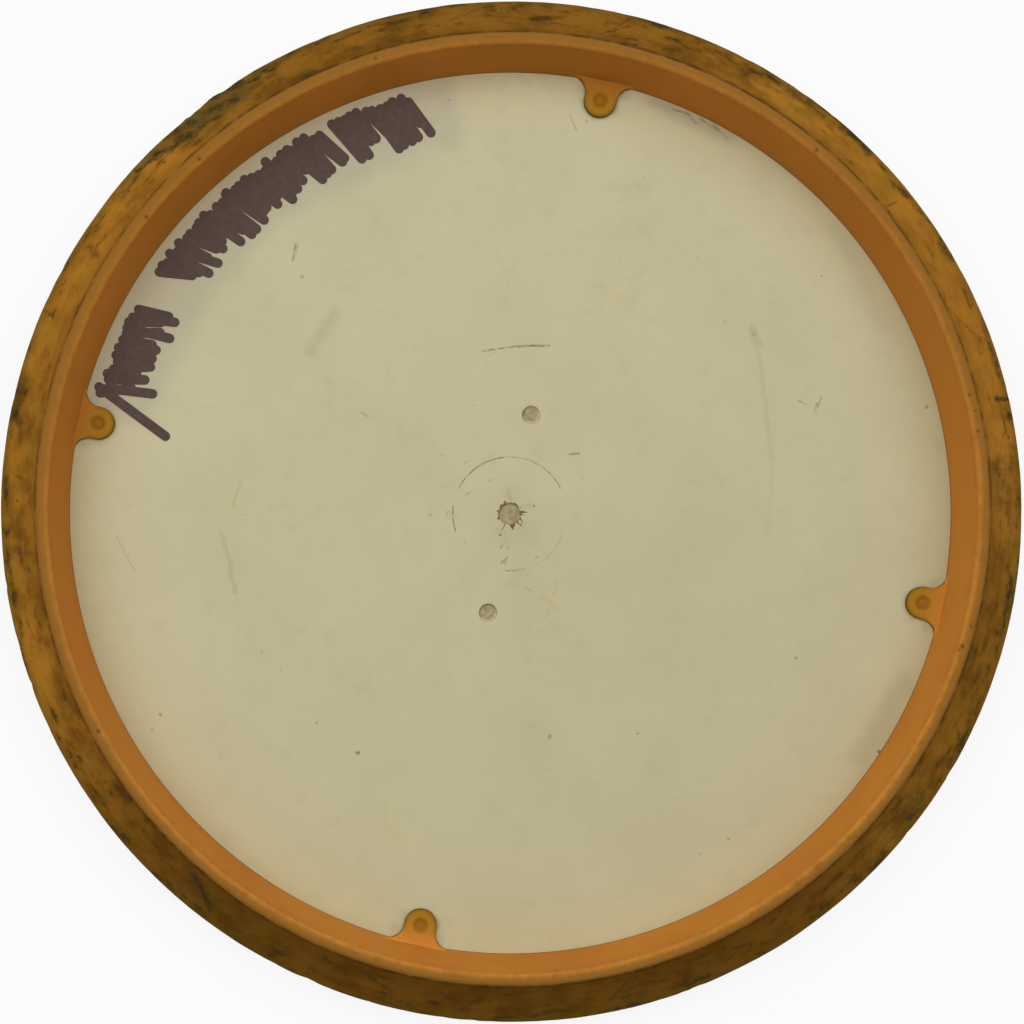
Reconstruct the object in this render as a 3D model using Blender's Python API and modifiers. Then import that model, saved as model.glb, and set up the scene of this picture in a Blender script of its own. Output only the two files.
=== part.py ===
"""Two-material flying disc, lying on its flight plate with the hollow of its rim facing up.

Metres, +Z up. The origin is the centre of the plate's outer face, which lies on the ground.
The gate tabs of the rim stand on the X and Y axes.
"""

from math import acos, atan2, cos, hypot, pi, sin, sqrt, tau

import bmesh
import bpy
from mathutils import Matrix

# Whole disc
DISC_DIAMETER = 0.2160
CUP_DEPTH = 0.0140
PLATE_EDGE_THICKNESS = 0.0034
CROWN_RISE = 0.0016

# Flight plate
PLATE_THICKNESS = 0.0024
PLATE_FLAT_DIAMETER = 0.0800
GATE_SCAR_DIAMETER = 0.0051
GATE_SCAR_DEPTH = 0.0004
PIN_MARK_DIAMETER = 0.0041
PIN_MARK_DEPTH = 0.0003
PIN_MARK_OFFSET = 0.0218

# Tongue of the plate, buried in the rim, and the keys that fill its holes
TONGUE_LENGTH = 0.0045
TONGUE_THICKNESS = 0.0014
KEY_COUNT = 16
KEY_HOLE_DIAMETER = 0.0024
KEY_BITE = 0.0006

# Rim
RIM_WIDTH = 0.0120
WALL_DRAFT = 0.0017
WING_DROP = 0.0095
NOSE_RADIUS = 0.0015
BEAD_WIDTH = 0.0025
BEAD_LAND = 0.0008
BEAD_STEP = 0.0009

# Gate tabs of the rim
TAB_COUNT = 4
TAB_WIDTH = 0.0070
TAB_REACH = 0.0076
TAB_HEIGHT = 0.0012
TAB_FILLET = 0.0032
TAB_ROOT = 0.0010
DIMPLE_DIAMETER = 0.0038
DIMPLE_DEPTH = 0.0005
NUB_DIAMETER = 0.0013
NUB_HEIGHT = 0.0004

# Clearances: the bond line between the two mouldings, and how far a cutter runs past what it cuts
BOND_GAP = 0.0003
OVERCUT = 0.0010

# Fineness of the round shapes
TURN_STEPS = 96
CROWN_STEPS = 5
SHOULDER_STEPS = 6
NOSE_STEPS = 3
BEAD_STEPS = 3
TAB_ARC_STEPS = 8
FILLET_STEPS = 4
SMALL_ROUND_SIDES = 12
SMOOTH_ANGLE = 0.6
MERGE_DISTANCE = 0.00001

# Colours, roughness
CREAM = (0.52, 0.47, 0.30, 1.0)
CREAM_ROUGHNESS = 0.45
AMBER = (0.33, 0.14, 0.02, 1.0)
AMBER_ROUGHNESS = 0.40

# Worked out from the sizes above
NOSE_REACH = DISC_DIAMETER / 2
MOUTH_RADIUS = NOSE_REACH - RIM_WIDTH
FOOT_RADIUS = MOUTH_RADIUS - WALL_DRAFT
PLATE_RADIUS = FOOT_RADIUS - BOND_GAP
TONGUE_RADIUS = PLATE_RADIUS + TONGUE_LENGTH
FLAT_RADIUS = PLATE_FLAT_DIAMETER / 2
SEAT_HEIGHT = CROWN_RISE + PLATE_EDGE_THICKNESS
TONGUE_UNDERSIDE = SEAT_HEIGHT - TONGUE_THICKNESS
DISC_HEIGHT = SEAT_HEIGHT + CUP_DEPTH
NOSE_LEVEL = DISC_HEIGHT - WING_DROP
KEY_RADIUS = (PLATE_RADIUS + TONGUE_RADIUS) / 2
TAB_ROUND = TAB_WIDTH / 2
TAB_CENTRE = FOOT_RADIUS - TAB_REACH + TAB_ROUND


def outer_face(radius):
    """Height of the plate's outer face: flat in the middle, then rising to the rim."""
    beyond = max(0.0, radius - FLAT_RADIUS) / (PLATE_RADIUS - FLAT_RADIUS)
    return CROWN_RISE * beyond ** 2


def cup_face(radius):
    """Height of the plate's face inside the cup, which rises a little more, so the edge is thicker."""
    beyond = max(0.0, radius - FLAT_RADIUS) / (PLATE_RADIUS - FLAT_RADIUS)
    return PLATE_THICKNESS + (SEAT_HEIGHT - PLATE_THICKNESS) * beyond ** 2


def tab_seat(radius):
    """Height of a gate tab's lower face, clear of the plate by the bond line."""
    return cup_face(radius) + BOND_GAP


def spaced(first, last, steps):
    """Evenly spaced values from first to last, both included."""
    return [first + (last - first) * i / steps for i in range(steps + 1)]


def arc(centre, width, height, start, end, steps):
    """Points of an elliptical arc in the profile plane."""
    return [(centre[0] + width * cos(a), centre[1] + height * sin(a)) for a in spaced(start, end, steps)]


def plate_profile():
    """From the axis out along the cup side, round the tongue, and back along the outer face."""
    radii = spaced(FLAT_RADIUS, PLATE_RADIUS, CROWN_STEPS)
    cup_side = [(0.0, PLATE_THICKNESS)] + [(r, cup_face(r)) for r in radii]
    tongue = [
        (TONGUE_RADIUS, SEAT_HEIGHT),
        (TONGUE_RADIUS, TONGUE_UNDERSIDE),
        (PLATE_RADIUS, TONGUE_UNDERSIDE),
    ]
    outside = [(r, outer_face(r)) for r in reversed(radii)] + [(0.0, 0.0)]
    return cup_side + tongue + outside


def wing_angle(crease, centre):
    """Angle on the nose's round where a straight wing from the crease touches it."""
    across, down = crease[0] - centre[0], crease[1] - centre[1]
    return atan2(down, across) - acos(NOSE_RADIUS / hypot(across, down))


def rim_profile():
    """From the bead down the wing, round the nose and shoulder, along the groove for the tongue, and up the wall."""
    round_width = (BEAD_WIDTH - BEAD_LAND) / 2
    shoulder_of_bead = DISC_HEIGHT - BEAD_STEP
    crease = (MOUTH_RADIUS + BEAD_WIDTH, shoulder_of_bead)
    inner_centre = (MOUTH_RADIUS + round_width, shoulder_of_bead)
    outer_centre = (crease[0] - round_width, shoulder_of_bead)
    nose_centre = (NOSE_REACH - NOSE_RADIUS, NOSE_LEVEL)
    bead_in = arc(inner_centre, round_width, BEAD_STEP, pi, pi / 2, BEAD_STEPS)
    bead_out = arc(outer_centre, round_width, BEAD_STEP, pi / 2, 0, BEAD_STEPS)
    nose = arc(nose_centre, NOSE_RADIUS, NOSE_RADIUS, wing_angle(crease, nose_centre), 0, NOSE_STEPS)
    seam = outer_face(PLATE_RADIUS)
    shoulder_centre = (FOOT_RADIUS, NOSE_LEVEL)
    shoulder = arc(shoulder_centre, NOSE_REACH - FOOT_RADIUS, NOSE_LEVEL - seam, 0, -pi / 2, SHOULDER_STEPS)
    groove = [
        (FOOT_RADIUS, TONGUE_UNDERSIDE - BOND_GAP),
        (TONGUE_RADIUS + BOND_GAP, TONGUE_UNDERSIDE - BOND_GAP),
        (TONGUE_RADIUS + BOND_GAP, SEAT_HEIGHT + BOND_GAP),
        (FOOT_RADIUS, SEAT_HEIGHT + BOND_GAP),
    ]
    return bead_in + bead_out + nose + shoulder[1:] + groove


def tab_outline():
    """Outline of one gate tab on the X axis: a round tip, straight sides and concave fillets at the wall."""
    fillet = min(TAB_FILLET, TAB_REACH - TAB_ROUND)
    root_half = TAB_ROUND + fillet
    root = sqrt(FOOT_RADIUS ** 2 - root_half ** 2)
    upper = arc((root - fillet, root_half), fillet, fillet, 0, -pi / 2, FILLET_STEPS)
    tip = arc((TAB_CENTRE, 0.0), TAB_ROUND, TAB_ROUND, pi / 2, 3 * pi / 2, TAB_ARC_STEPS)
    lower = arc((root - fillet, -root_half), fillet, fillet, pi / 2, 0, FILLET_STEPS)
    buried = [(root + TAB_ROOT, -root_half), (root + TAB_ROOT, root_half)]
    return upper + tip + lower + buried


def collection(name):
    made = bpy.data.collections.new(name)
    bpy.context.scene.collection.children.link(made)
    return made


def add_object(name, mesh, group):
    made = bpy.data.objects.new(name, mesh)
    group.objects.link(made)
    return made


def add_turned(name, profile, group, closed):
    """A profile in the XZ plane, turned about Z by a Screw modifier."""
    count = len(profile)
    edges = [(i, (i + 1) % count) for i in range(count if closed else count - 1)]
    mesh = bpy.data.meshes.new(name)
    mesh.from_pydata([(x, 0.0, z) for x, z in profile], edges, [])
    made = add_object(name, mesh, group)
    screw = made.modifiers.new("turn", "SCREW")
    screw.axis = "Z"
    screw.angle = tau
    screw.steps = TURN_STEPS
    screw.render_steps = TURN_STEPS
    screw.use_merge_vertices = True
    screw.merge_threshold = MERGE_DISTANCE
    return made


def add_cylinders(name, places, diameter, group):
    """Upright cylinders in one mesh, each place giving x, y, foot and head."""
    shape = bmesh.new()
    for x, y, foot, head in places:
        bmesh.ops.create_cone(
            shape,
            cap_ends=True,
            segments=SMALL_ROUND_SIDES,
            radius1=diameter / 2,
            radius2=diameter / 2,
            depth=head - foot,
            matrix=Matrix.Translation((x, y, (foot + head) / 2)),
        )
    mesh = bpy.data.meshes.new(name)
    shape.to_mesh(mesh)
    shape.free()
    return add_object(name, mesh, group)


def add_tab_prisms(name, group):
    """The tabs' outline, pushed up through the whole cup and repeated round the Z axis."""
    shape = bmesh.new()
    for number in range(TAB_COUNT):
        turn = Matrix.Rotation(tau * number / TAB_COUNT, 4, "Z")
        corners = [shape.verts.new((x, y, 0.0)) for x, y in tab_outline()]
        foot = shape.faces.new(corners)
        pushed = bmesh.ops.extrude_face_region(shape, geom=[foot])["geom"]
        raised = [item for item in pushed if isinstance(item, bmesh.types.BMVert)]
        bmesh.ops.translate(shape, verts=raised, vec=(0.0, 0.0, DISC_HEIGHT))
        bmesh.ops.transform(shape, matrix=turn, verts=corners + raised)
    bmesh.ops.recalc_face_normals(shape, faces=shape.faces)
    mesh = bpy.data.meshes.new(name)
    shape.to_mesh(mesh)
    shape.free()
    return add_object(name, mesh, group)


def round_the_axis(radius, count, foot, head, start=0.0):
    """Places for upright cylinders spaced evenly round the Z axis."""
    angles = [start + tau * i / count for i in range(count)]
    return [(radius * cos(a), radius * sin(a), foot, head) for a in angles]


def combine(target, other, operation):
    step = target.modifiers.new(other.name, "BOOLEAN")
    step.operation = operation
    step.object = other
    step.solver = "EXACT"


def as_cutter(made):
    made.hide_render = True
    made.display_type = "WIRE"
    return made


def add_material(name, colour, roughness):
    made = bpy.data.materials.new(name)
    made.use_nodes = True
    shader = made.node_tree.nodes["Principled BSDF"]
    shader.inputs["Base Color"].default_value = colour
    shader.inputs["Roughness"].default_value = roughness
    shader.inputs["Metallic"].default_value = 0.0
    return made


def settle(made, material):
    """Takes the modifiers' result as the piece's own mesh, so that it can be shaded smooth by angle."""
    graph = bpy.context.evaluated_depsgraph_get()
    mesh = bpy.data.meshes.new_from_object(made.evaluated_get(graph))
    made.modifiers.clear()
    made.data = mesh
    mesh.materials.clear()
    mesh.materials.append(material)
    mesh.shade_smooth()
    mesh.set_sharp_from_angle(angle=SMOOTH_ANGLE)


def build_plate(parts, cutters):
    plate = add_turned("flight_plate", plate_profile(), parts, closed=False)
    clear = PLATE_THICKNESS + OVERCUT
    scar = [(0.0, 0.0, PLATE_THICKNESS - GATE_SCAR_DEPTH, clear)]
    pins = round_the_axis(PIN_MARK_OFFSET, 2, cup_face(PIN_MARK_OFFSET) - PIN_MARK_DEPTH, clear, pi / 2)
    holes = round_the_axis(
        KEY_RADIUS, KEY_COUNT, TONGUE_UNDERSIDE - OVERCUT, SEAT_HEIGHT + OVERCUT, pi / KEY_COUNT
    )
    for name, places, diameter in (
        ("gate_scar", scar, GATE_SCAR_DIAMETER),
        ("pin_marks", pins, PIN_MARK_DIAMETER),
        ("key_holes", holes, KEY_HOLE_DIAMETER),
    ):
        combine(plate, as_cutter(add_cylinders(name, places, diameter, cutters)), "DIFFERENCE")
    return plate


def build_tabs(cutters):
    """The gate tabs: their outline cut from a turned shell that follows the plate's face."""
    tabs = as_cutter(add_tab_prisms("gate_tabs", cutters))
    near = FOOT_RADIUS - TAB_REACH - OVERCUT
    radii = spaced(near, FOOT_RADIUS + TAB_ROOT + OVERCUT, CROWN_STEPS)
    top = [(r, tab_seat(r) + TAB_HEIGHT) for r in radii]
    foot = [(r, tab_seat(r)) for r in reversed(radii)]
    shell = as_cutter(add_turned("tab_shell", top + foot, cutters, closed=True))
    combine(tabs, shell, "INTERSECT")
    return tabs


def build_rim(parts, cutters):
    rim = add_turned("overmould_rim", rim_profile(), parts, closed=True)
    dimple_floor = tab_seat(TAB_CENTRE) + TAB_HEIGHT - DIMPLE_DEPTH
    dimple_mouth = dimple_floor + DIMPLE_DEPTH + OVERCUT
    dimples = round_the_axis(TAB_CENTRE, TAB_COUNT, dimple_floor, dimple_mouth)
    nub_foot = (tab_seat(TAB_CENTRE) + dimple_floor) / 2
    nubs = round_the_axis(TAB_CENTRE, TAB_COUNT, nub_foot, dimple_floor + NUB_HEIGHT)
    key_foot = TONGUE_UNDERSIDE - BOND_GAP - KEY_BITE
    key_head = SEAT_HEIGHT + BOND_GAP + KEY_BITE
    keys = round_the_axis(KEY_RADIUS, KEY_COUNT, key_foot, key_head, pi / KEY_COUNT)
    key_diameter = KEY_HOLE_DIAMETER - 2 * BOND_GAP
    combine(rim, build_tabs(cutters), "UNION")
    combine(rim, as_cutter(add_cylinders("gate_dimples", dimples, DIMPLE_DIAMETER, cutters)), "DIFFERENCE")
    combine(rim, as_cutter(add_cylinders("gate_nubs", nubs, NUB_DIAMETER, cutters)), "UNION")
    combine(rim, as_cutter(add_cylinders("keys", keys, key_diameter, cutters)), "UNION")
    return rim


def main():
    for old in list(bpy.data.objects):
        bpy.data.objects.remove(old)
    parts = collection("flying_disc")
    cutters = collection("cutters")
    plate = build_plate(parts, cutters)
    rim = build_rim(parts, cutters)
    bpy.context.view_layer.update()
    settle(plate, add_material("cream_core_plastic", CREAM, CREAM_ROUGHNESS))
    settle(rim, add_material("amber_rim_plastic", AMBER, AMBER_ROUGHNESS))


main()
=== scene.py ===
"""Looks of a used two-material flying disc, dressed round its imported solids.

The disc lies on its flight plate, with the hollow of its rim facing the camera. Lengths are metres, apart
from "seen" places, which are millimetres from the disc's centre, x right and y up, as the camera sees the
disc. Bearings are degrees clockwise from the camera's right.
"""

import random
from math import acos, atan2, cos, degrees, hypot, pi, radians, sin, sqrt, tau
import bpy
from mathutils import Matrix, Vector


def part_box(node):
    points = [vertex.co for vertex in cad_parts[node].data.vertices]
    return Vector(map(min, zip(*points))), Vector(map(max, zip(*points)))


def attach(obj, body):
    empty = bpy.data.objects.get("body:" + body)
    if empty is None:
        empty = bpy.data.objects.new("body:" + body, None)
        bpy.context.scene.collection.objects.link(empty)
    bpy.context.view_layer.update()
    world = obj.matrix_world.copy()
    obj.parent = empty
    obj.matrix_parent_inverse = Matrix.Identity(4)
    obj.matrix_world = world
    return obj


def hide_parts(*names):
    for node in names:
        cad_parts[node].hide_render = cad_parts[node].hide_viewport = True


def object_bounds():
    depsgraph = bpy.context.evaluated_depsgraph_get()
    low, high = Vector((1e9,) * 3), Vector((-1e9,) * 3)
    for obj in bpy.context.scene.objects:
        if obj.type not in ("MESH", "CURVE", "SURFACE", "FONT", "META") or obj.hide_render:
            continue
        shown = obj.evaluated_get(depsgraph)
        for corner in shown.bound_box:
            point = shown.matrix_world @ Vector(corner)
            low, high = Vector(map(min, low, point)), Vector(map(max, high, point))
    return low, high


bl_info = {
    "name": "Used Flying Disc",
    "version": (1, 0, 0),
    "blender": (4, 5, 0),
    "location": "View3D > Sidebar > Flying Disc",
    "description": "Dresses the packed solids of a two-material flying disc",
    "category": "Add Mesh",
}

import bmesh
import bpy
import numpy as np
from bpy.props import FloatProperty, FloatVectorProperty, IntProperty, PointerProperty
from mathutils import Matrix, Vector, kdtree, noise

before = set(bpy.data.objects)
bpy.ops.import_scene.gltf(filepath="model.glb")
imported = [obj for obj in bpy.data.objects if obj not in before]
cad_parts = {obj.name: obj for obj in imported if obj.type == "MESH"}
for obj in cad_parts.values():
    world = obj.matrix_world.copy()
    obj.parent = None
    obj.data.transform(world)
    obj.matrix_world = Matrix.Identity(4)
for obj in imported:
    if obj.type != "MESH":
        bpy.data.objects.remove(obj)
CAD_LOW, CAD_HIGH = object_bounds()
PLATE_LOW, PLATE_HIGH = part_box("flight_plate")

BODY = "root"
MM = 0.001

# How far the camera is turned against the disc's X axis, in degrees
CAMERA_TURN = 12.3

# Fineness of the turned shapes
PLATE_TURN_STEPS = 256
RIM_TURN_STEPS = 540
CROWN_STEPS = 14
WING_STEPS = 18
WALL_STEPS = 18
NOSE_STEPS = 8
SHOULDER_STEPS = 18
BEAD_STEPS = 6
CREASE_STEPS = 5
FOOT_STEPS = 3
TAB_ARC_STEPS = 28
TAB_FILLET_STEPS = 10
ROLL_STEPS = 4
PIT_STEPS = 40
DIMPLE_STEPS = 14
SMOOTH_ANGLE = radians(32)
MERGE_DISTANCE = 0.000002
OVERCUT = 0.0010


def length(name, description, default):
    return FloatProperty(name=name, description=description, default=default, unit="LENGTH", precision=5)


def tint(name, description, default):
    return FloatVectorProperty(
        name=name, description=description, default=default, subtype="COLOR", size=3, min=0.0, max=1.0
    )


class DiscSizes(bpy.types.PropertyGroup):
    """Sizes of the two mouldings and of what marks them."""

    disc_diameter: length("Disc diameter", "Across the nose of the rim", CAD_HIGH.x - CAD_LOW.x)
    disc_height: length("Disc height", "From the ground to the bead", CAD_HIGH.z - CAD_LOW.z)
    seat_height: length("Seat height", "Height of the plate's face where the rim sits on it", PLATE_HIGH.z)
    tongue_diameter: length("Tongue diameter", "Across the plate's buried tongue", PLATE_HIGH.x - PLATE_LOW.x)
    tongue_thickness: length("Tongue thickness", "Thickness of the buried tongue", 0.0014)
    plate_thickness: length("Plate thickness", "Thickness of the plate's flat middle", 0.0024)
    plate_flat: length("Flat middle", "Across the flat middle of the plate", 0.0800)
    crown_rise: length("Crown rise", "Rise of the outer face from its middle to the rim", 0.0016)
    scar_diameter: length("Gate scar", "Across the scar of the plate's centre gate", 0.0051)
    scar_depth: length("Scar depth", "Depth of the gate scar", 0.0004)
    pin_diameter: length("Pin mark", "Across one ejector-pin mark", 0.0041)
    pin_depth: length("Pin mark depth", "Depth of an ejector-pin mark", 0.0003)
    pin_offset: length("Pin mark offset", "From the centre to a pin mark", 0.0218)
    ring_diameter: length("Witness ring", "Across the fine ring round the gate scar", 0.0245)
    ring_depth: length("Ring depth", "Depth of the fine ring", 0.00002)
    rim_width: length("Rim width", "From the nose to the mouth of the cup", 0.0120)
    wall_draft: length("Wall draft", "How far the foot of the wall stands inside the mouth", 0.0017)
    wing_drop: length("Wing drop", "From the bead's crest down to the nose", 0.0095)
    nose_radius: length("Nose radius", "Round of the nose", 0.0015)
    bead_width: length("Bead width", "Width of the bead on the mouth of the cup", 0.0025)
    bead_land: length("Bead land", "Width of the flat on the bead's crest", 0.0008)
    bead_step: length("Bead step", "Height of the bead over the wing", 0.0009)
    bond_line: length("Bond line", "Fine dark gap between plate and rim", 0.00008)
    foot_roll: length("Foot roll", "Round at the foot of the wall", 0.00012)
    tab_width: length("Tab width", "Width of a gate tab", 0.0070)
    tab_reach: length("Tab reach", "From the foot of the wall to the tip of a tab", 0.0076)
    tab_height: length("Tab height", "Thickness of a gate tab", 0.0012)
    tab_fillet: length("Tab fillet", "Fillet between a tab and the wall", 0.0032)
    tab_roll: length("Tab roll", "Round of a tab's upper edge", 0.00035)
    tab_root: length("Tab root", "How far a tab runs on inside the wall", 0.0010)
    dimple_diameter: length("Dimple", "Across the dimple in a tab", 0.0038)
    dimple_depth: length("Dimple depth", "Depth of the dimple", 0.0004)
    nub_diameter: length("Gate nub", "Across the nub in the dimple", 0.0013)
    nub_height: length("Nub height", "Height of the nub over the dimple's floor", 0.0003)
    ink_width: length("Marker width", "Width of one stroke of the marker hatch", 0.0021)
    ink_film: length("Ink film", "Thickness of the dried ink", 0.00002)
    tab_count: IntProperty(name="Gate tabs", description="Tabs round the cup", default=4, min=1)


class DiscColours(bpy.types.PropertyGroup):
    """Colours of the plastics, their dirt, their painted light and shade, and the stage."""

    cream: tint("Cream", "Clean plate", (0.577, 0.526, 0.324))
    # Darker cream: greyer, handled patches, and painted shade across the plate
    cream_dull_and_shade: tint("Dull cream", "Handled, greyer plate", (0.465, 0.420, 0.248))
    # Yellowed and lighter cream: yellowing, and painted light beside the rim where its shade falls
    cream_edge: tint("Edge cream", "Yellowed plate beside the rim", (0.575, 0.492, 0.268))
    grime: tint("Grime", "Dirt in scratches of the plate", (0.110, 0.090, 0.045))
    dust: tint("Dust", "Grey dust round the tabs", (0.250, 0.225, 0.135))
    stain: tint("Stain", "Yellow stain on the plate", (0.480, 0.400, 0.130))
    torn: tint("Torn plastic", "Floor of the gate scar and pin marks", (0.300, 0.225, 0.105))
    # Brown of torn plastic: dirt on the flash and the pits' walls, and painted shade under the pits' lips
    scorch_and_shade: tint("Torn edge", "Brown dirt on torn edges", (0.150, 0.110, 0.055))
    gleam: tint("Gleam", "Lit lip of a pin mark", (0.680, 0.630, 0.440))
    # Lit and shaded copies of the wall's amber: painted light on the side towards the lamps, painted shade on
    # the side turned from them
    amber_lit_side: tint("Amber", "Clean wall of the rim", (0.665, 0.265, 0.043))
    amber_shaded_side: tint("Deep amber", "Darker side of the wall", (0.430, 0.165, 0.024))
    amber_red: tint("Red amber", "Redder patches of the wall", (0.560, 0.195, 0.034))
    tab_ochre: tint("Tab ochre", "Tips of the gate tabs", (0.360, 0.180, 0.014))
    bead_tan: tint("Bead tan", "Rubbed bead", (0.300, 0.132, 0.021))
    # Rubbed ochre, also laid on the wing's stretches towards the lamps as painted light
    ochre: tint("Ochre", "Rubbed, lighter wing", (0.400, 0.170, 0.018))
    umber: tint("Umber", "Stained wing", (0.175, 0.072, 0.007))
    straw: tint("Straw", "Yellower wear on the wing", (0.350, 0.185, 0.016))
    # Dark soil: ground-in dirt on the wing, and painted shade on its darker stretches and in the crease
    loam_and_shade: tint("Loam", "Wing dark with trodden-in soil", (0.055, 0.022, 0.001))
    olive: tint("Olive", "Grimy edge of the wing", (0.125, 0.075, 0.006))
    ash: tint("Ash", "Grey smears of the big scrape", (0.090, 0.066, 0.017))
    soot: tint("Soot", "Ground-in black dirt", (0.035, 0.026, 0.010))
    ink: tint("Ink", "Dried marker ink", (0.070, 0.040, 0.030))
    ink_haze: tint("Ink haze", "Ink rubbed into the plate", (0.360, 0.325, 0.270))
    floor: tint("Floor", "Studio floor", (0.900, 0.900, 0.900))


def sizes():
    return bpy.context.scene.disc_sizes


def colours():
    return bpy.context.scene.disc_colours


class Disc:
    """Radii and heights worked out from the sizes."""

    def __init__(self):
        size = sizes()
        self.size = size
        self.nose_reach = size.disc_diameter / 2
        self.mouth = self.nose_reach - size.rim_width
        self.foot = self.mouth - size.wall_draft
        self.tongue = size.tongue_diameter / 2
        self.plate = self.foot - 3 * size.bond_line
        self.flat = size.plate_flat / 2
        self.seat = size.seat_height
        self.tongue_underside = self.seat - size.tongue_thickness
        self.height = size.disc_height
        self.nose_level = self.height - size.wing_drop
        self.crease = (self.mouth + size.bead_width, self.height - size.bead_step)
        self.nose_centre = (self.nose_reach - size.nose_radius, self.nose_level)
        self.tab_round = size.tab_width / 2
        self.tab_centre = self.foot - size.tab_reach + self.tab_round
        self.tab_slope = self.cup_slope(self.tab_centre)
        self.tab_seat = self.cup_face(self.tab_centre) + size.bond_line
        self.tab_top = self.tab_seat + size.tab_height

    def beyond(self, radius):
        """Share of the way from the flat middle to the plate's edge."""
        return max(0.0, radius - self.flat) / (self.plate - self.flat)

    def outer_face(self, radius):
        return self.size.crown_rise * self.beyond(radius) ** 2

    def cup_face(self, radius):
        thickness = self.size.plate_thickness
        return thickness + (self.seat - thickness) * self.beyond(radius) ** 2

    def cup_slope(self, radius):
        return 2 * (self.seat - self.size.plate_thickness) * self.beyond(radius) / (self.plate - self.flat)

    def tab_plane(self, along):
        """How much higher a tab lies at a distance from the axis than at its centre."""
        return self.tab_slope * (along - self.tab_centre)


def seen_polar(bearing, radius):
    """Seen place, in millimetres, at a bearing and a radius."""
    turn = radians(bearing)
    return (radius * cos(turn), -radius * sin(turn))


def world_angle(bearing):
    return radians(CAMERA_TURN - bearing)


def bearing_at(point):
    return (CAMERA_TURN - degrees(atan2(point.y, point.x))) % 360.0


def from_seen(place):
    """World X and Y, in metres, of a seen place."""
    turned = Matrix.Rotation(radians(CAMERA_TURN), 2) @ Vector(place)
    return turned * MM


def spaced(first, last, steps):
    """Evenly spaced values from first to last, both included."""
    return [first + (last - first) * i / steps for i in range(steps + 1)]


def line(first, last, steps):
    """Points between two points of a profile, both left out."""
    shares = spaced(0.0, 1.0, steps)[1:-1]
    return [(first[0] + (last[0] - first[0]) * s, first[1] + (last[1] - first[1]) * s) for s in shares]


def arc(centre, width, height, start, end, steps):
    """Points of an elliptical arc in a plane."""
    return [(centre[0] + width * cos(a), centre[1] + height * sin(a)) for a in spaced(start, end, steps)]


def turned(profile, steps, closed):
    """A bmesh of a profile in the XZ plane, turned about Z."""
    shape = bmesh.new()
    rail = [shape.verts.new((x, 0.0, z)) for x, z in profile]
    ends = rail[1:] + rail[:1] if closed else rail[1:]
    edges = [shape.edges.new(pair) for pair in zip(rail, ends)]
    bmesh.ops.spin(
        shape, geom=rail + edges, cent=(0, 0, 0), axis=(0, 0, 1), angle=tau, steps=steps, use_merge=True
    )
    bmesh.ops.remove_doubles(shape, verts=shape.verts, dist=MERGE_DISTANCE)
    bmesh.ops.recalc_face_normals(shape, faces=shape.faces)
    return shape


def skin(shape, rings):
    """Faces between each ring of points and the next."""
    for near, far in zip(rings, rings[1:]):
        for i in range(len(near)):
            after = (i + 1) % len(near)
            shape.faces.new((near[i], near[after], far[after], far[i]))


def link_object(name, data):
    made = bpy.data.objects.new(name, data)
    bpy.context.scene.collection.objects.link(made)
    return made


def add_object(name, shape):
    """Makes an object of a bmesh and frees the bmesh."""
    bmesh.ops.recalc_face_normals(shape, faces=shape.faces)
    mesh = bpy.data.meshes.new(name)
    shape.to_mesh(mesh)
    shape.free()
    return link_object(name, mesh)


def combine(target, others, operation):
    """Cuts other objects out of the target, or joins them to it, and removes them."""
    for other in others:
        step = target.modifiers.new(other.name, "BOOLEAN")
        step.operation = operation
        step.object = other
        step.solver = "EXACT"
    bpy.context.view_layer.update()
    graph = bpy.context.evaluated_depsgraph_get()
    mesh = bpy.data.meshes.new_from_object(target.evaluated_get(graph))
    if len(mesh.polygons) == 0:
        raise RuntimeError("Nothing is left of " + target.name)
    shape = bmesh.new()
    shape.from_mesh(mesh)
    bmesh.ops.dissolve_degenerate(shape, edges=shape.edges, dist=MERGE_DISTANCE)
    shape.to_mesh(mesh)
    shape.free()
    target.modifiers.clear()
    target.data = mesh
    for other in others:
        bpy.data.objects.remove(other)


def dress(made, material, node=None):
    """Shades a piece, gives it its finish and ties it to the frame."""
    mesh = made.data
    mesh.name = made.name
    mesh.materials.clear()
    mesh.materials.append(material)
    mesh.shade_smooth()
    mesh.set_sharp_from_angle(angle=SMOOTH_ANGLE)
    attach(made, BODY)
    if node:
        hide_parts(node)


# Flight plate

PIN_MARK_COUNT = 2
PIN_TILT = 0.085
PIN_JAG = 0.01
# Shares of a pit's radius where its floor ends and where the floor has a ring of points
PIT_DRAFT = 0.92
PIT_FLOOR_RING = 0.5
# Share of a step that a pit is turned by, so that its corners miss the spokes of the plate's mesh
PIT_TURN = 0.3
SCAR_SEED = 4
SCAR_JAG = 0.07
RING_HALF_WIDTH = 0.00016


def plate_profile(disc):
    """From the axis out along the cup side, round the tongue, and back along the outer face."""
    size = disc.size
    ring = size.ring_diameter / 2
    radii = spaced(disc.flat, disc.plate, CROWN_STEPS)
    middle = [
        (0.0, size.plate_thickness),
        (size.scar_diameter, size.plate_thickness),
        (ring - 3 * RING_HALF_WIDTH, size.plate_thickness),
        (ring - RING_HALF_WIDTH, size.plate_thickness),
        (ring, size.plate_thickness - size.ring_depth),
        (ring + RING_HALF_WIDTH, size.plate_thickness),
        (ring + 3 * RING_HALF_WIDTH, size.plate_thickness),
    ]
    tongue = [
        (disc.tongue, disc.seat),
        (disc.tongue, disc.tongue_underside),
        (disc.plate, disc.tongue_underside),
    ]
    cup_side = middle + [(r, disc.cup_face(r)) for r in radii]
    outside = [(r, disc.outer_face(r)) for r in reversed(radii)] + [(0.0, 0.0)]
    return cup_side + tongue + outside


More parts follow.
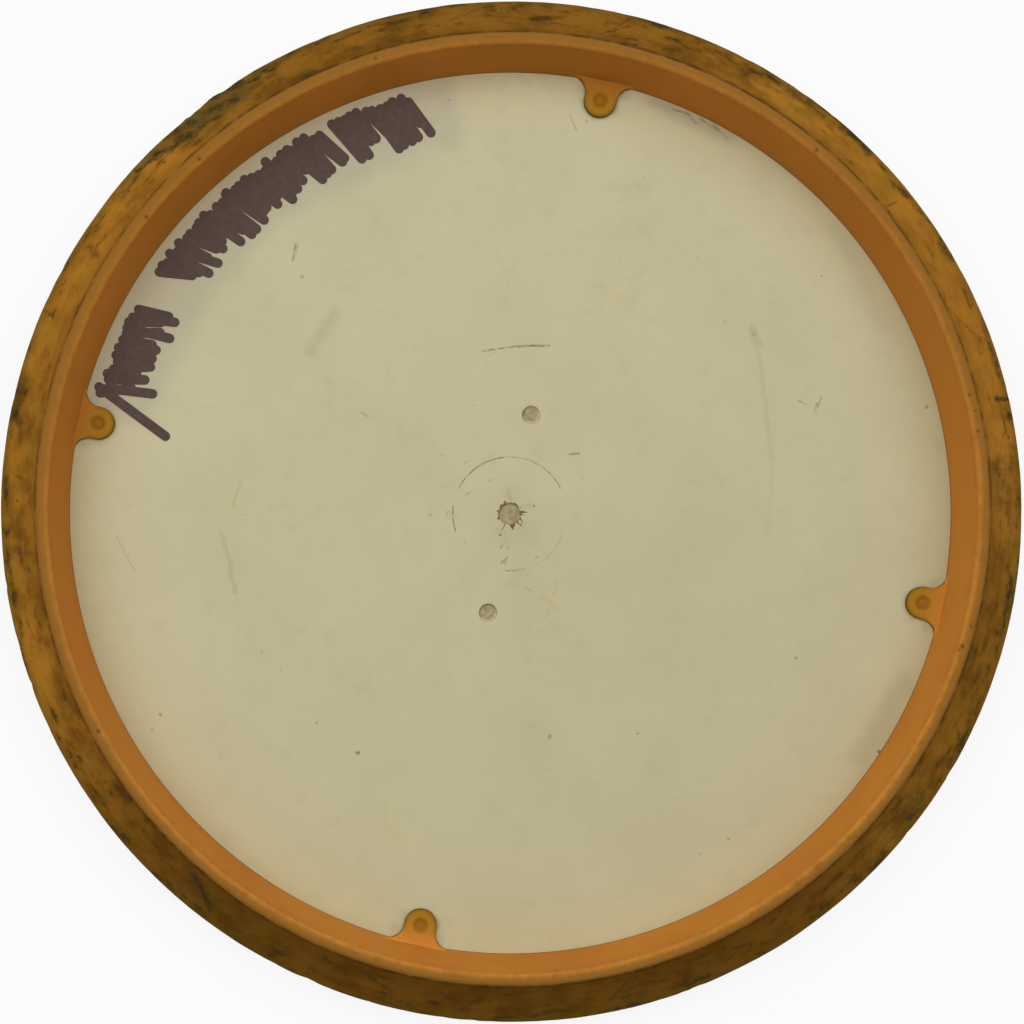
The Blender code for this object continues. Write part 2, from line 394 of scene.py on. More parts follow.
def pit_cutter(name, radius, floor, mouth, jag, tilt, seed):
    """A shallow round cutter with a drafted wall. Its outline may be jagged and its floor tilted."""
    draw = random.Random(seed)
    profile = [(radius * share, floor) for share in (0.0, PIT_FLOOR_RING, PIT_DRAFT)]
    profile += [(radius, mouth), (0.0, mouth)]
    shape = turned(profile, PIT_STEPS, closed=False)
    uneven = [1.0 + draw.uniform(-jag, jag) for _ in range(PIT_STEPS)]
    for vert in shape.verts:
        step = round(atan2(vert.co.y, vert.co.x) / tau * PIT_STEPS) % PIT_STEPS
        vert.co.x *= uneven[step]
        vert.co.y *= uneven[step]
        if vert.co.z < (floor + mouth) / 2:
            vert.co.z += tilt * vert.co.x
    off_spokes = Matrix.Rotation(PIT_TURN * tau / PIT_STEPS, 3, "Z")
    bmesh.ops.rotate(shape, verts=shape.verts, matrix=off_spokes)
    return add_object(name, shape)


def plate_cutters(disc):
    """The gate scar and the pin marks, as cutters."""
    size = disc.size
    mouth = size.plate_thickness + OVERCUT
    floor = size.plate_thickness - size.scar_depth
    cutters = [pit_cutter("scar", size.scar_diameter / 2, floor, mouth, SCAR_JAG, 0.0, SCAR_SEED)]
    for number in range(PIN_MARK_COUNT):
        floor = size.plate_thickness - size.pin_depth
        pin = pit_cutter("pin", size.pin_diameter / 2, floor, mouth, PIN_JAG, PIN_TILT, number)
        turn = Matrix.Rotation(tau * number / PIN_MARK_COUNT + pi / 2, 4, "Z")
        pin.data.transform(turn @ Matrix.Translation((size.pin_offset, 0.0, 0.0)))
        cutters.append(pin)
    return cutters


# Torn flash round the gate scar: seen places of foot and tip, width and height in millimetres
FLASH_SLIVERS = (
    ((-0.95, 2.25), (-1.10, 2.95), 0.95, 0.30),
    ((-1.75, 1.75), (-2.10, 2.05), 0.80, 0.28),
    ((1.05, 2.15), (1.25, 2.60), 0.60, 0.22),
    ((2.15, 1.15), (2.80, 1.75), 0.22, 0.14),
    ((2.35, 0.45), (4.05, 0.24), 0.75, 0.30),
    ((2.30, -0.10), (3.25, -0.35), 0.55, 0.24),
    ((2.20, -0.95), (3.20, -2.25), 0.38, 0.26),
    ((1.55, -1.70), (3.00, -3.10), 0.34, 0.30),
    ((2.55, -2.05), (2.15, -2.75), 0.26, 0.20),
    ((0.55, -2.20), (0.88, -3.55), 1.50, 0.36),
    ((-1.05, -2.30), (-2.05, -4.40), 0.24, 0.22),
    ((-2.35, -0.95), (-2.85, -1.10), 0.70, 0.30),
    ((-2.45, 0.55), (-2.85, 0.75), 0.70, 0.26),
)
# Knob on the end of the thread of flash: seen place and radius in millimetres
THREAD_KNOB = ((-2.08, -4.52), 0.20)
SLIVER_STEPS = 5
SLIVER_SEED = 11
SLIVER_SWAY = 0.10
SLIVER_UNEVEN = 0.1


def add_sliver(shape, disc, sliver, draw):
    """One torn sliver: a three-sided spike that lies on the plate and thins out to its tip."""
    foot, tip, width, height = sliver
    start, end = from_seen(foot), from_seen(tip)
    along = end - start
    aside = Vector((-along.y, along.x)).normalized()
    floor = disc.size.plate_thickness - disc.size.ring_depth
    rings = []
    for step in range(SLIVER_STEPS):
        share = step / SLIVER_STEPS
        left = 1.0 - share
        sway = draw.uniform(-SLIVER_SWAY, SLIVER_SWAY) * width * MM * min(1.0, 2 * share)
        middle = start + along * share + aside * sway
        half = aside * (width * MM * left / 2)
        top = floor + height * MM * (left + draw.uniform(-SLIVER_UNEVEN, SLIVER_UNEVEN) * share)
        low_left, low_right = middle - half, middle + half
        rings.append(
            [
                shape.verts.new((low_left.x, low_left.y, floor)),
                shape.verts.new((middle.x, middle.y, top)),
                shape.verts.new((low_right.x, low_right.y, floor)),
            ]
        )
    point = shape.verts.new((end.x, end.y, floor + disc.size.ring_depth))
    shape.faces.new(rings[0])
    skin(shape, rings)
    last = rings[-1]
    for here, after in zip(last, last[1:] + last[:1]):
        shape.faces.new((here, after, point))


def flash_shape(disc):
    """All the torn slivers, and the knob on the end of the thread."""
    draw = random.Random(SLIVER_SEED)
    shape = bmesh.new()
    for sliver in FLASH_SLIVERS:
        add_sliver(shape, disc, sliver, draw)
    place, knob = THREAD_KNOB
    spot = from_seen(place)
    centre = Matrix.Translation((spot.x, spot.y, disc.size.plate_thickness + knob * MM / 3))
    bmesh.ops.create_icosphere(shape, subdivisions=2, radius=knob * MM, matrix=centre)
    return shape


# Overmoulded rim

# Angle on the bead where its fillet to the wing starts, and how many points of the wing the fillet takes up
CREASE_START = radians(35)
CREASE_SPAN = 1

# Wear of wing and bead: depths and sizes in metres
CREASE_FADE = 0.0020
WING_WAVE = 0.00007
WING_WAVE_SIZE = 0.009
WING_GRAIN = 0.000035
WING_GRAIN_SIZE = 0.0016
BEAD_RAG = 0.00014
BEAD_RAG_SIZE = 0.0022
# How many heights of the bead its wear reaches down, and the dimension, step and octaves of the wear's noise
BEAD_WEAR_STEPS = 2
WEAR_FRACTAL = (1.0, 2.0, 3)

# Seeded dents: sizes and depths in metres, and share of the way from the crease to the nose where they lie
DENT_COUNT = 170
DENT_SEED = 23
DENT_SIZE = (0.0007, 0.0024)
DENT_DEPTH = (0.00004, 0.00020)
DENT_REACH = (0.05, 1.25)

# The big scrape and the plastic that is pushed up in it: depths, grain and inner radii in metres
SCRAPE_BEARINGS = (225.5, 239.5)
SCRAPE_DEPTH = 0.00028
SCRAPE_GRAIN = 0.0011
SCRAPE_BIAS = 0.6
SCRAPE_INNER = 0.1008
BULGE_BEARING = 234.3
BULGE_SPREAD = 1.5
BULGE_RISE = 0.00034
BULGE_INNER = 0.1035

# Nicks in the bead: bearing, radius, half width and depth, in millimetres
BEAD_NICKS = (
    (14.4, 97.6, 0.45, 0.25),
    (17.0, 97.0, 0.60, 0.25),
    (17.6, 96.6, 0.40, 0.20),
    (151.8, 97.2, 0.70, 0.30),
    (218.5, 96.8, 0.65, 0.25),
    (228.1, 97.0, 0.70, 0.30),
    (253.0, 97.2, 0.55, 0.25),
    (310.2, 97.0, 0.60, 0.20),
    (346.0, 97.0, 0.50, 0.25),
    (350.5, 97.3, 0.55, 0.25),
    (348.0, 97.6, 0.40, 0.20),
)


def bezier(first, control, last, steps):
    """Points of a curve from first to last that turns towards a control point."""
    points = []
    for t in spaced(0.0, 1.0, steps):
        weights = (1 - t) ** 2, 2 * t * (1 - t), t ** 2
        points.append(tuple(sum(w * p[i] for w, p in zip(weights, (first, control, last))) for i in (0, 1)))
    return points


def wing_angle(disc):
    """Angle on the nose's round where a straight wing from the crease touches it."""
    across = disc.crease[0] - disc.nose_centre[0]
    down = disc.crease[1] - disc.nose_centre[1]
    return atan2(down, across) - acos(disc.size.nose_radius / hypot(across, down))


def rim_profile(disc):
    """Three runs: over bead, wing and nose to the seam, along the tongue's groove, and up the wall."""
    size = disc.size
    bead_round = (size.bead_width - size.bead_land) / 2
    bead_foot = disc.height - size.bead_step
    bead_in = arc((disc.mouth + bead_round, bead_foot), bead_round, size.bead_step, pi, pi / 2, BEAD_STEPS)
    bead_centre = (disc.crease[0] - bead_round, bead_foot)
    bead_out = arc(bead_centre, bead_round, size.bead_step, pi / 2, CREASE_START, BEAD_STEPS)
    nose = arc(disc.nose_centre, size.nose_radius, size.nose_radius, wing_angle(disc), 0, NOSE_STEPS)
    wing = line(disc.crease, nose[0], WING_STEPS)[CREASE_SPAN:]
    crease = bezier(bead_out[-1], disc.crease, wing[0], CREASE_STEPS)[1:-1]
    seam = disc.outer_face(disc.plate)
    shoulder_size = (disc.nose_reach - disc.foot, disc.nose_level - seam)
    shoulder = arc((disc.foot, disc.nose_level), *shoulder_size, 0, -pi / 2, SHOULDER_STEPS)[1:]
    gap = size.bond_line
    groove = [
        (disc.foot, disc.tongue_underside - gap),
        (disc.tongue + gap, disc.tongue_underside - gap),
        (disc.tongue + gap, disc.seat + gap),
    ]
    roll = size.foot_roll
    foot = arc((disc.foot + roll, disc.seat + gap + roll), roll, roll, -pi / 2, -pi, FOOT_STEPS)
    wall = line(foot[-1], bead_in[0], WALL_STEPS)
    outside = bead_in + bead_out + crease + wing + nose + shoulder
    return outside, groove, foot + wall


def dent_tree(disc):
    """Nicks of the bead and seeded dents on wing, nose and shoulder: places, sizes and depths."""
    draw = random.Random(DENT_SEED)
    facts = []
    tree = kdtree.KDTree(DENT_COUNT + len(BEAD_NICKS))
    for number in range(DENT_COUNT):
        share = draw.uniform(*DENT_REACH)
        turn = draw.uniform(0.0, tau)
        radius = disc.crease[0] + (disc.nose_reach - disc.crease[0]) * min(share, 1.0)
        level = disc.crease[1] + (disc.nose_level - disc.crease[1]) * share
        tree.insert((radius * cos(turn), radius * sin(turn), level), number)
        facts.append((draw.uniform(*DENT_SIZE), draw.uniform(*DENT_DEPTH)))
    for bearing, radius, wide, deep in BEAD_NICKS:
        spot = from_seen(seen_polar(bearing, radius))
        tree.insert((spot.x, spot.y, disc.height), len(facts))
        facts.append((wide * MM, deep * MM))
    tree.balance()
    return tree, facts


def bell(value, middle, spread):
    """A smooth bump of height 1 round a middle, nothing past the spread."""
    away = (value - middle) / spread
    return max(0.0, 1.0 - away * away) ** 2


def wear_of(disc, point, dents):
    """How deep the rim is worn at a point of its outside or its bead; negative where plastic is pushed up."""
    tree, facts = dents
    radius = hypot(point.x, point.y)
    bearing = bearing_at(point)
    wear = 0.0
    bead_low = disc.crease[1] - BEAD_WEAR_STEPS * disc.size.bead_step
    if radius > disc.crease[0] and point.z > disc.seat:
        fade = min(1.0, (radius - disc.crease[0]) / CREASE_FADE)
        wear += fade * WING_WAVE * (1.0 + noise.noise(point / WING_WAVE_SIZE))
        wear += fade * WING_GRAIN * (1.0 + noise.noise(point / WING_GRAIN_SIZE))
        first, last = SCRAPE_BEARINGS
        patch = bell(bearing, (first + last) / 2, (last - first) / 2)
        if patch > 0.0 and radius > SCRAPE_INNER:
            grain = noise.fractal(point / SCRAPE_GRAIN, *WEAR_FRACTAL)
            wear += SCRAPE_DEPTH * sqrt(patch) * max(0.0, SCRAPE_BIAS + grain)
        if radius > BULGE_INNER:
            wear -= BULGE_RISE * bell(bearing, BULGE_BEARING, BULGE_SPREAD)
    elif point.z > bead_low:
        fade = min(1.0, (point.z - bead_low) / (disc.height - bead_low))
        wear += fade * BEAD_RAG * abs(noise.fractal(point / BEAD_RAG_SIZE, *WEAR_FRACTAL))
    else:
        return wear
    for place, number, away in tree.find_range(point, DENT_SIZE[1]):
        wide, deep = facts[number]
        wear += deep * bell(away, 0.0, wide)
    return wear


def wear_rim(shape, disc):
    """Pushes the outside of the rim in where it is worn."""
    dents = dent_tree(disc)
    shape.normal_update()
    moves = [(vert, vert.normal * -wear_of(disc, vert.co, dents)) for vert in shape.verts]
    for vert, move in moves:
        vert.co += move
        vert.co.z = min(vert.co.z, disc.height)


def tab_outline(disc):
    """Outline of a gate tab on the X axis: a round tip, straight sides and concave fillets at the wall."""
    size = disc.size
    fillet = min(size.tab_fillet, size.tab_reach - disc.tab_round)
    root_half = disc.tab_round + fillet
    root = sqrt(disc.foot ** 2 - root_half ** 2)
    upper = arc((root - fillet, root_half), fillet, fillet, 0, -pi / 2, TAB_FILLET_STEPS)
    tip = arc((disc.tab_centre, 0.0), disc.tab_round, disc.tab_round, pi / 2, 3 * pi / 2, TAB_ARC_STEPS)
    lower = arc((root - fillet, -root_half), fillet, fillet, pi / 2, 0, TAB_FILLET_STEPS)
    buried = [(root + size.tab_root, -root_half), (root + size.tab_root, root_half)]
    return upper + tip + lower + buried


def inset(outline, distance):
    """An outline drawn in by a distance along the inward normals of its corners."""
    count = len(outline)
    made = []
    for i, (x, y) in enumerate(outline):
        before, after = outline[i - 1], outline[(i + 1) % count]
        run = Vector((after[0] - before[0], after[1] - before[1])).normalized()
        made.append((x - run.y * distance, y + run.x * distance))
    return made


def tab_layers(disc):
    """Inset and lift of a tab's outlines, from its lower face up round its rolled edge."""
    size = disc.size
    roll = size.tab_roll
    rolled = [
        (roll * (1 - cos(a)), size.tab_height - roll * (1 - sin(a))) for a in spaced(0, pi / 2, ROLL_STEPS)
    ]
    return [(0.0, 0.0)] + rolled + [(2 * roll, size.tab_height)]


def round_the_cup(shape, disc):
    """Repeats what stands on the X axis at every tab's place."""
    count = disc.size.tab_count
    faces = list(shape.faces)
    for number in range(1, count):
        turn = Matrix.Rotation(tau * number / count, 3, "Z")
        copied = bmesh.ops.duplicate(shape, geom=faces)["geom"]
        fresh = [item for item in copied if isinstance(item, bmesh.types.BMVert)]
        bmesh.ops.rotate(shape, verts=fresh, matrix=turn)


def add_tabs(disc):
    """The gate tabs, with rolled edges and a dimple each."""
    shape = bmesh.new()
    outline = tab_outline(disc)
    rings = []
    for draw_in, lift in tab_layers(disc):
        level = disc.tab_seat + lift
        corners = inset(outline, draw_in)
        rings.append([shape.verts.new((x, y, level + disc.tab_plane(x))) for x, y in corners])
    shape.faces.new(rings[0])
    shape.faces.new(rings[-1])
    skin(shape, rings)
    round_the_cup(shape, disc)
    tabs = add_object("tabs", shape)
    combine(tabs, [dimple_cutters(disc)], "DIFFERENCE")
    return tabs


def eased(value, first, last):
    """A smooth step of a value from first to last."""
    share = min(1.0, max(0.0, (value - first) / (last - first)))
    return share * share * (3.0 - 2.0 * share)


# Shares of a dimple's radius where its bowl is at full depth and where its cutter ends, share of a nub's
# radius where the nub ends, and lift of the cutter's edge in metres
BOWL_SHARE = 0.35
LIP_SHARE = 1.05
NUB_FOOT_SHARE = 1.5
LIP_LIFT = OVERCUT / 20


def dimple_cutters(disc):
    """Cutters for the soft round dimples in the tabs that leave the gate nubs standing."""
    size = disc.size
    nub, wide = size.nub_diameter / 2, size.dimple_diameter / 2
    profile = []
    for radius in spaced(0.0, wide, DIMPLE_STEPS):
        bowl = size.dimple_depth * eased(radius, wide, wide * BOWL_SHARE)
        stub = size.nub_height * eased(radius, nub * NUB_FOOT_SHARE, 0.0)
        profile.append((radius, stub - bowl))
    profile += [(wide * LIP_SHARE, LIP_LIFT), (wide * LIP_SHARE, OVERCUT), (0.0, OVERCUT)]
    shape = turned(profile, PIT_STEPS, closed=False)
    for vert in shape.verts:
        vert.co.x += disc.tab_centre
        vert.co.z += disc.tab_top + disc.tab_plane(vert.co.x)
    round_the_cup(shape, disc)
    return add_object("dimples", shape)


# Marker hatch: first and last bearing of each run of strokes, and the run's outer radius in millimetres
HATCH_RUNS = (
    (196.5, 209.5, 91.0),
    (214.5, 229.0, 91.4),
    (228.6, 244.0, 91.2),
    (245.2, 257.0, 91.6),
)
# Spacing, sway and slant of the strokes in degrees, and their length and uneven start in millimetres
HATCH_PITCH = 0.95
HATCH_SWAY = (-0.25, 0.25)
HATCH_SLANT = (1.0, 2.3)
HATCH_LENGTH = (5.4, 9.4)
HATCH_START = (-1.1, 0.5)
# Seen ends of the stroke that trails off the first run
HATCH_TAIL = ((-88.0, 27.0), (-74.0, 16.6))
HATCH_SEED = 8
HATCH_END_STEPS = 10
# Layers that the strokes lie in, and in thicknesses of the film the step between them and the gap under them
HATCH_LAYERS = 6
HATCH_LAYER_STEP = 0.25
HATCH_GAP = 0.5


def hatch_strokes():
    """Seeded outer and inner seen places of the strokes, side by side along each run."""
    draw = random.Random(HATCH_SEED)
    strokes = [HATCH_TAIL]
    for first, last, outer in HATCH_RUNS:
        count = round((last - first) / HATCH_PITCH)
        for number in range(count):
            bearing = first + (last - first) * number / count + draw.uniform(*HATCH_SWAY)
            start = outer + draw.uniform(*HATCH_START)
            end = start - draw.uniform(*HATCH_LENGTH)
            slanted = bearing + draw.uniform(*HATCH_SLANT)
            strokes.append((seen_polar(bearing, start), seen_polar(slanted, end)))
    return strokes


def hatch_shape(disc):
    """Thin films with round ends that lie on the plate, in layers a hair apart."""
    shape = bmesh.new()
    half = disc.size.ink_width / 2
    film = disc.size.ink_film
    for number, (first, last) in enumerate(hatch_strokes()):
        start, end = from_seen(first), from_seen(last)
        heading = atan2(end.y - start.y, end.x - start.x)
        outline = arc(start, half, half, heading + pi / 2, heading + 3 * pi / 2, HATCH_END_STEPS)
        outline += arc(end, half, half, heading - pi / 2, heading + pi / 2, HATCH_END_STEPS)
        lift = film * (1 + number % HATCH_LAYERS * HATCH_LAYER_STEP)
        gap = film * HATCH_GAP
        rings = []
        for above in (gap, lift + gap):
            rings.append([shape.verts.new((x, y, disc.cup_face(hypot(x, y)) + above)) for x, y in outline])
        shape.faces.new(rings[0])
        shape.faces.new(rings[1])
        skin(shape, rings)
    bmesh.ops.triangulate(shape, faces=[face for face in shape.faces if len(face.verts) > 4])
    return shape


# Bake maps: where each face lies on the square that its finish is baked to

BAKE_MAP = "OFBake"
# Faces whose normal rises less than this count as upright
STEEP = 0.3
# Centres and radii on the square of the plate's two faces, and corner and size of the strips for its edges
CUP_SPOT = (0.435, 0.435)
CUP_SHARE = 0.430
OUTER_SPOT = (0.850, 0.850)
OUTER_SHARE = 0.145
EDGE_SPOT = (0.006, 0.900)
EDGE_SIZE = (0.680, 0.090)
# The rim's square in metres: gap between strips, width of the side column, room for a tab along and across
# the column, and squeeze of the groove
STRIP_GAP = 0.0008
COLUMN_WIDTH = 0.0320
TAB_PITCH = 0.0110
TAB_CELL = 0.0162
GROOVE_SCALE = 0.35
# Share of a quarter that the ends of the strips are shifted by, so that no face's middle falls on them
STRIP_BIAS = 0.003
# Share of a dimple's width that counts as its inside, and of the bond line that counts as the groove's roof
DIMPLE_INSIDE = 0.55
GROOVE_ROOF = 1.05


def rows(items, name, width, kind=np.float32):
    """One row of numbers for each item of a mesh."""
    found = np.empty(len(items) * width, kind)
    items.foreach_get(name, found)
    return found.reshape(-1, width)


def corners(mesh):
    """Each face corner's vertex, and its face's middle and normal."""
    vertex = rows(mesh.loops, "vertex_index", 1, np.int32)[:, 0]
    face = np.repeat(np.arange(len(mesh.polygons)), rows(mesh.polygons, "loop_total", 1, np.int32)[:, 0])
    return vertex, rows(mesh.polygons, "center", 3)[face], rows(mesh.polygons, "normal", 3)[face]


def lay_out(mesh, spots):
    layer = mesh.uv_layers.new(name=BAKE_MAP)
    layer.uv.foreach_set("vector", spots.astype(np.float32).ravel())


def angle_of(places):
    return np.arctan2(places[:, 1], places[:, 0])


def reach_of(places):
    return np.hypot(places[:, 0], places[:, 1])


def wrapped(angle):
    return (angle + pi) % tau - pi


def map_plate(mesh, disc):
    """The cup face large, the plain outer face small beside it, and the hidden edges as strips."""
    vertex, middle, normal = corners(mesh)
    place = rows(mesh.vertices, "co", 3)[vertex]
    flat = place[:, :2] / disc.tongue
    spots = CUP_SPOT + flat * CUP_SHARE
    outer = normal[:, 2] < -STEEP
    spots[outer] = OUTER_SPOT + flat[outer] * (-OUTER_SHARE, OUTER_SHARE)
    share = (angle_of(middle) + wrapped(angle_of(place) - angle_of(middle))) / tau + 0.5
    tongue_end = reach_of(middle) > (disc.plate + disc.tongue) / 2
    strip = np.stack((share, (place[:, 2] / disc.seat + tongue_end) / 2), axis=1)
    edge = abs(normal[:, 2]) <= STEEP
    spots[edge] = EDGE_SPOT + strip[edge] * EDGE_SIZE
    lay_out(mesh, spots)


def run_along(profile, places):
    """Distance along a profile to its point nearest each place, and the profile's whole length."""
    first = np.array(profile[:-1])
    step = np.diff(np.array(profile), axis=0)
    span = reach_of(step)
    offset = np.stack((reach_of(places), places[:, 2]), axis=1)[:, None, :] - first
    share = ((offset * step).sum(axis=2) / span ** 2).clip(0.0, 1.0)
    nearest = np.linalg.norm(offset - share[..., None] * step, axis=2).argmin(axis=1)
    along = share[np.arange(len(places)), nearest] * span[nearest]
    return (np.cumsum(span) - span)[nearest] + along, span.sum()


def tab_spots(place, turn, normal, disc):
    """Places on the gate tabs seen from above, with sides folded outwards and lower faces set beside them."""
    x, y = reach_of(place) * np.cos(turn), reach_of(place) * np.sin(turn)
    drop = disc.tab_top + disc.tab_plane(x) - place[:, 2]
    drop[np.hypot(x - disc.tab_centre, y) < disc.size.dimple_diameter * DIMPLE_INSIDE] = 0.0
    out_x = x - x.clip(disc.tab_centre, disc.foot)
    fold = drop.clip(0.0) / np.hypot(out_x, y).clip(MERGE_DISTANCE)
    below = normal[:, 2] < -STEEP
    fold[below] = 0.0
    return np.stack((y * (1.0 + fold) + below * TAB_CELL, disc.foot - x - out_x * fold), axis=1)


def map_rim(mesh, disc):
    """A strip for the quarter round each tab, with the tabs and the hidden groove in a column beside them."""
    vertex, middle, normal = corners(mesh)
    places = rows(mesh.vertices, "co", 3)
    place = places[vertex]
    outside, groove, inside = rim_profile(disc)
    shown, height = run_along(inside + outside, places)
    hidden, depth = run_along(outside[-1:] + groove + inside[:1], places)
    count = disc.size.tab_count
    quarter = np.round(angle_of(middle) * count / tau - STRIP_BIAS) % count
    turn = wrapped(angle_of(place) - quarter * tau / count)
    around = (disc.foot + disc.nose_reach) / 2
    width = around * tau / count
    spots = np.stack((width / 2 - turn * around, shown[vertex] + quarter * (height + STRIP_GAP)), axis=1)

    column = width + 3 * STRIP_GAP
    reach = reach_of(middle)
    on_tab = (reach < disc.foot - MERGE_DISTANCE) & (middle[:, 2] > disc.tongue_underside)
    tab_corner = (column + TAB_CELL / 2, STRIP_GAP)
    tabs = tab_spots(place, turn, normal, disc) + tab_corner
    tabs[:, 1] += quarter * TAB_PITCH
    spots[on_tab] = tabs[on_tab]

    gap = disc.size.bond_line
    shoulder = (normal[:, 2] < -STEEP) & (middle[:, 2] < disc.tongue_underside - 2 * gap)
    enclosed = (reach < disc.tongue + 2 * gap) & (middle[:, 2] < disc.seat + GROOVE_ROOF * gap)
    in_groove = enclosed & ~shoulder & ~on_tab
    row = count * TAB_PITCH + quarter * (depth * GROOVE_SCALE + STRIP_GAP)
    squeezed = column + COLUMN_WIDTH * (turn * count / tau + 0.5)
    buried = np.stack((squeezed, row + hidden[vertex] * GROOVE_SCALE + STRIP_GAP), axis=1)
    spots[in_groove] = buried[in_groove]

    sheet = max(column + COLUMN_WIDTH, count * (height + STRIP_GAP)) + 2 * STRIP_GAP
    lay_out(mesh, (spots + STRIP_GAP) / sheet)


# Finishes

WHITE = (1.0, 1.0, 1.0)
ORIGIN = (0.0, 0.0, 0.0)
FLATTEN = (1.0, 1.0, 0.0)
NOISE_MEAN = (0.5, 0.5, 0.5)
SPECK_EDGE = (-0.01, 0.02)
# Radius in millimetres where a streak round the disc has the length that is asked for
SWEEP_RADIUS = 103.0
BACKGROUND_RAYS = ("Is Camera Ray", "Is Glossy Ray", "Is Transmission Ray")
# Numbers of a Mix node's factor, first, second and result sockets
MIX_SOCKETS = {"RGBA": (0, 6, 7, 2), "FLOAT": (0, 2, 3, 0)}


class Nodes:
    """Adds nodes to a tree. Most methods give back the socket that carries their result."""

    def __init__(self, owner):
        owner.use_nodes = True
        self.tree = owner.node_tree

    def node(self, kind, **settings):
        made = self.tree.nodes.new("ShaderNode" + kind)
        for key, value in settings.items():
            setattr(made, key, value)
        return made

    def feed(self, socket, value):
        """Links a socket to a result, or sets it to a number, vector or colour."""
        if isinstance(value, bpy.types.NodeSocket):
            self.tree.links.new(value, socket)
        elif socket.type == "RGBA":
            socket.default_value = (*value, 1.0)
        else:
            socket.default_value = value

    def fill(self, made, **values):
        """Feeds inputs of a node by name, with _ for a space, and gives back the node."""
        for name, value in values.items():
            self.feed(made.inputs[name.replace("_", " ")], value)
        return made

    def math(self, operation, *values):
        made = self.node("Math", operation=operation)
        for socket, value in zip(made.inputs, values):
            self.feed(socket, value)
        return made.outputs["Value"]

    def times(self, first, second):
        return self.math("MULTIPLY", first, second)

    def vector(self, operation, *values):
        made = self.node("VectorMath", operation=operation)
        for socket, value in zip(made.inputs, values):
            self.feed(socket, value)
        scalar = operation in ("DOT_PRODUCT", "LENGTH", "DISTANCE")
        return made.outputs["Value" if scalar else "Vector"]

    def most(self, masks):
        """The strongest of some masks, each taken in as soon as it is made."""
        result = None
        for mask in masks:
            result = mask if result is None else self.math("MAXIMUM", result, mask)
        return result

    def background_rays(self):
        """1 for rays that show the background: from the camera, off gloss or through glass."""
        path = self.node("LightPath")
        return self.most(path.outputs[name] for name in BACKGROUND_RAYS)

    def show(self, output, share, first, second):
        """Ends a tree with a blend of two shaders."""
        blend = self.fill(self.node("MixShader"), Fac=share)
        self.feed(blend.inputs[1], first)
        self.feed(blend.inputs[2], second)
        self.fill(self.node(output), Surface=blend.outputs["Shader"])


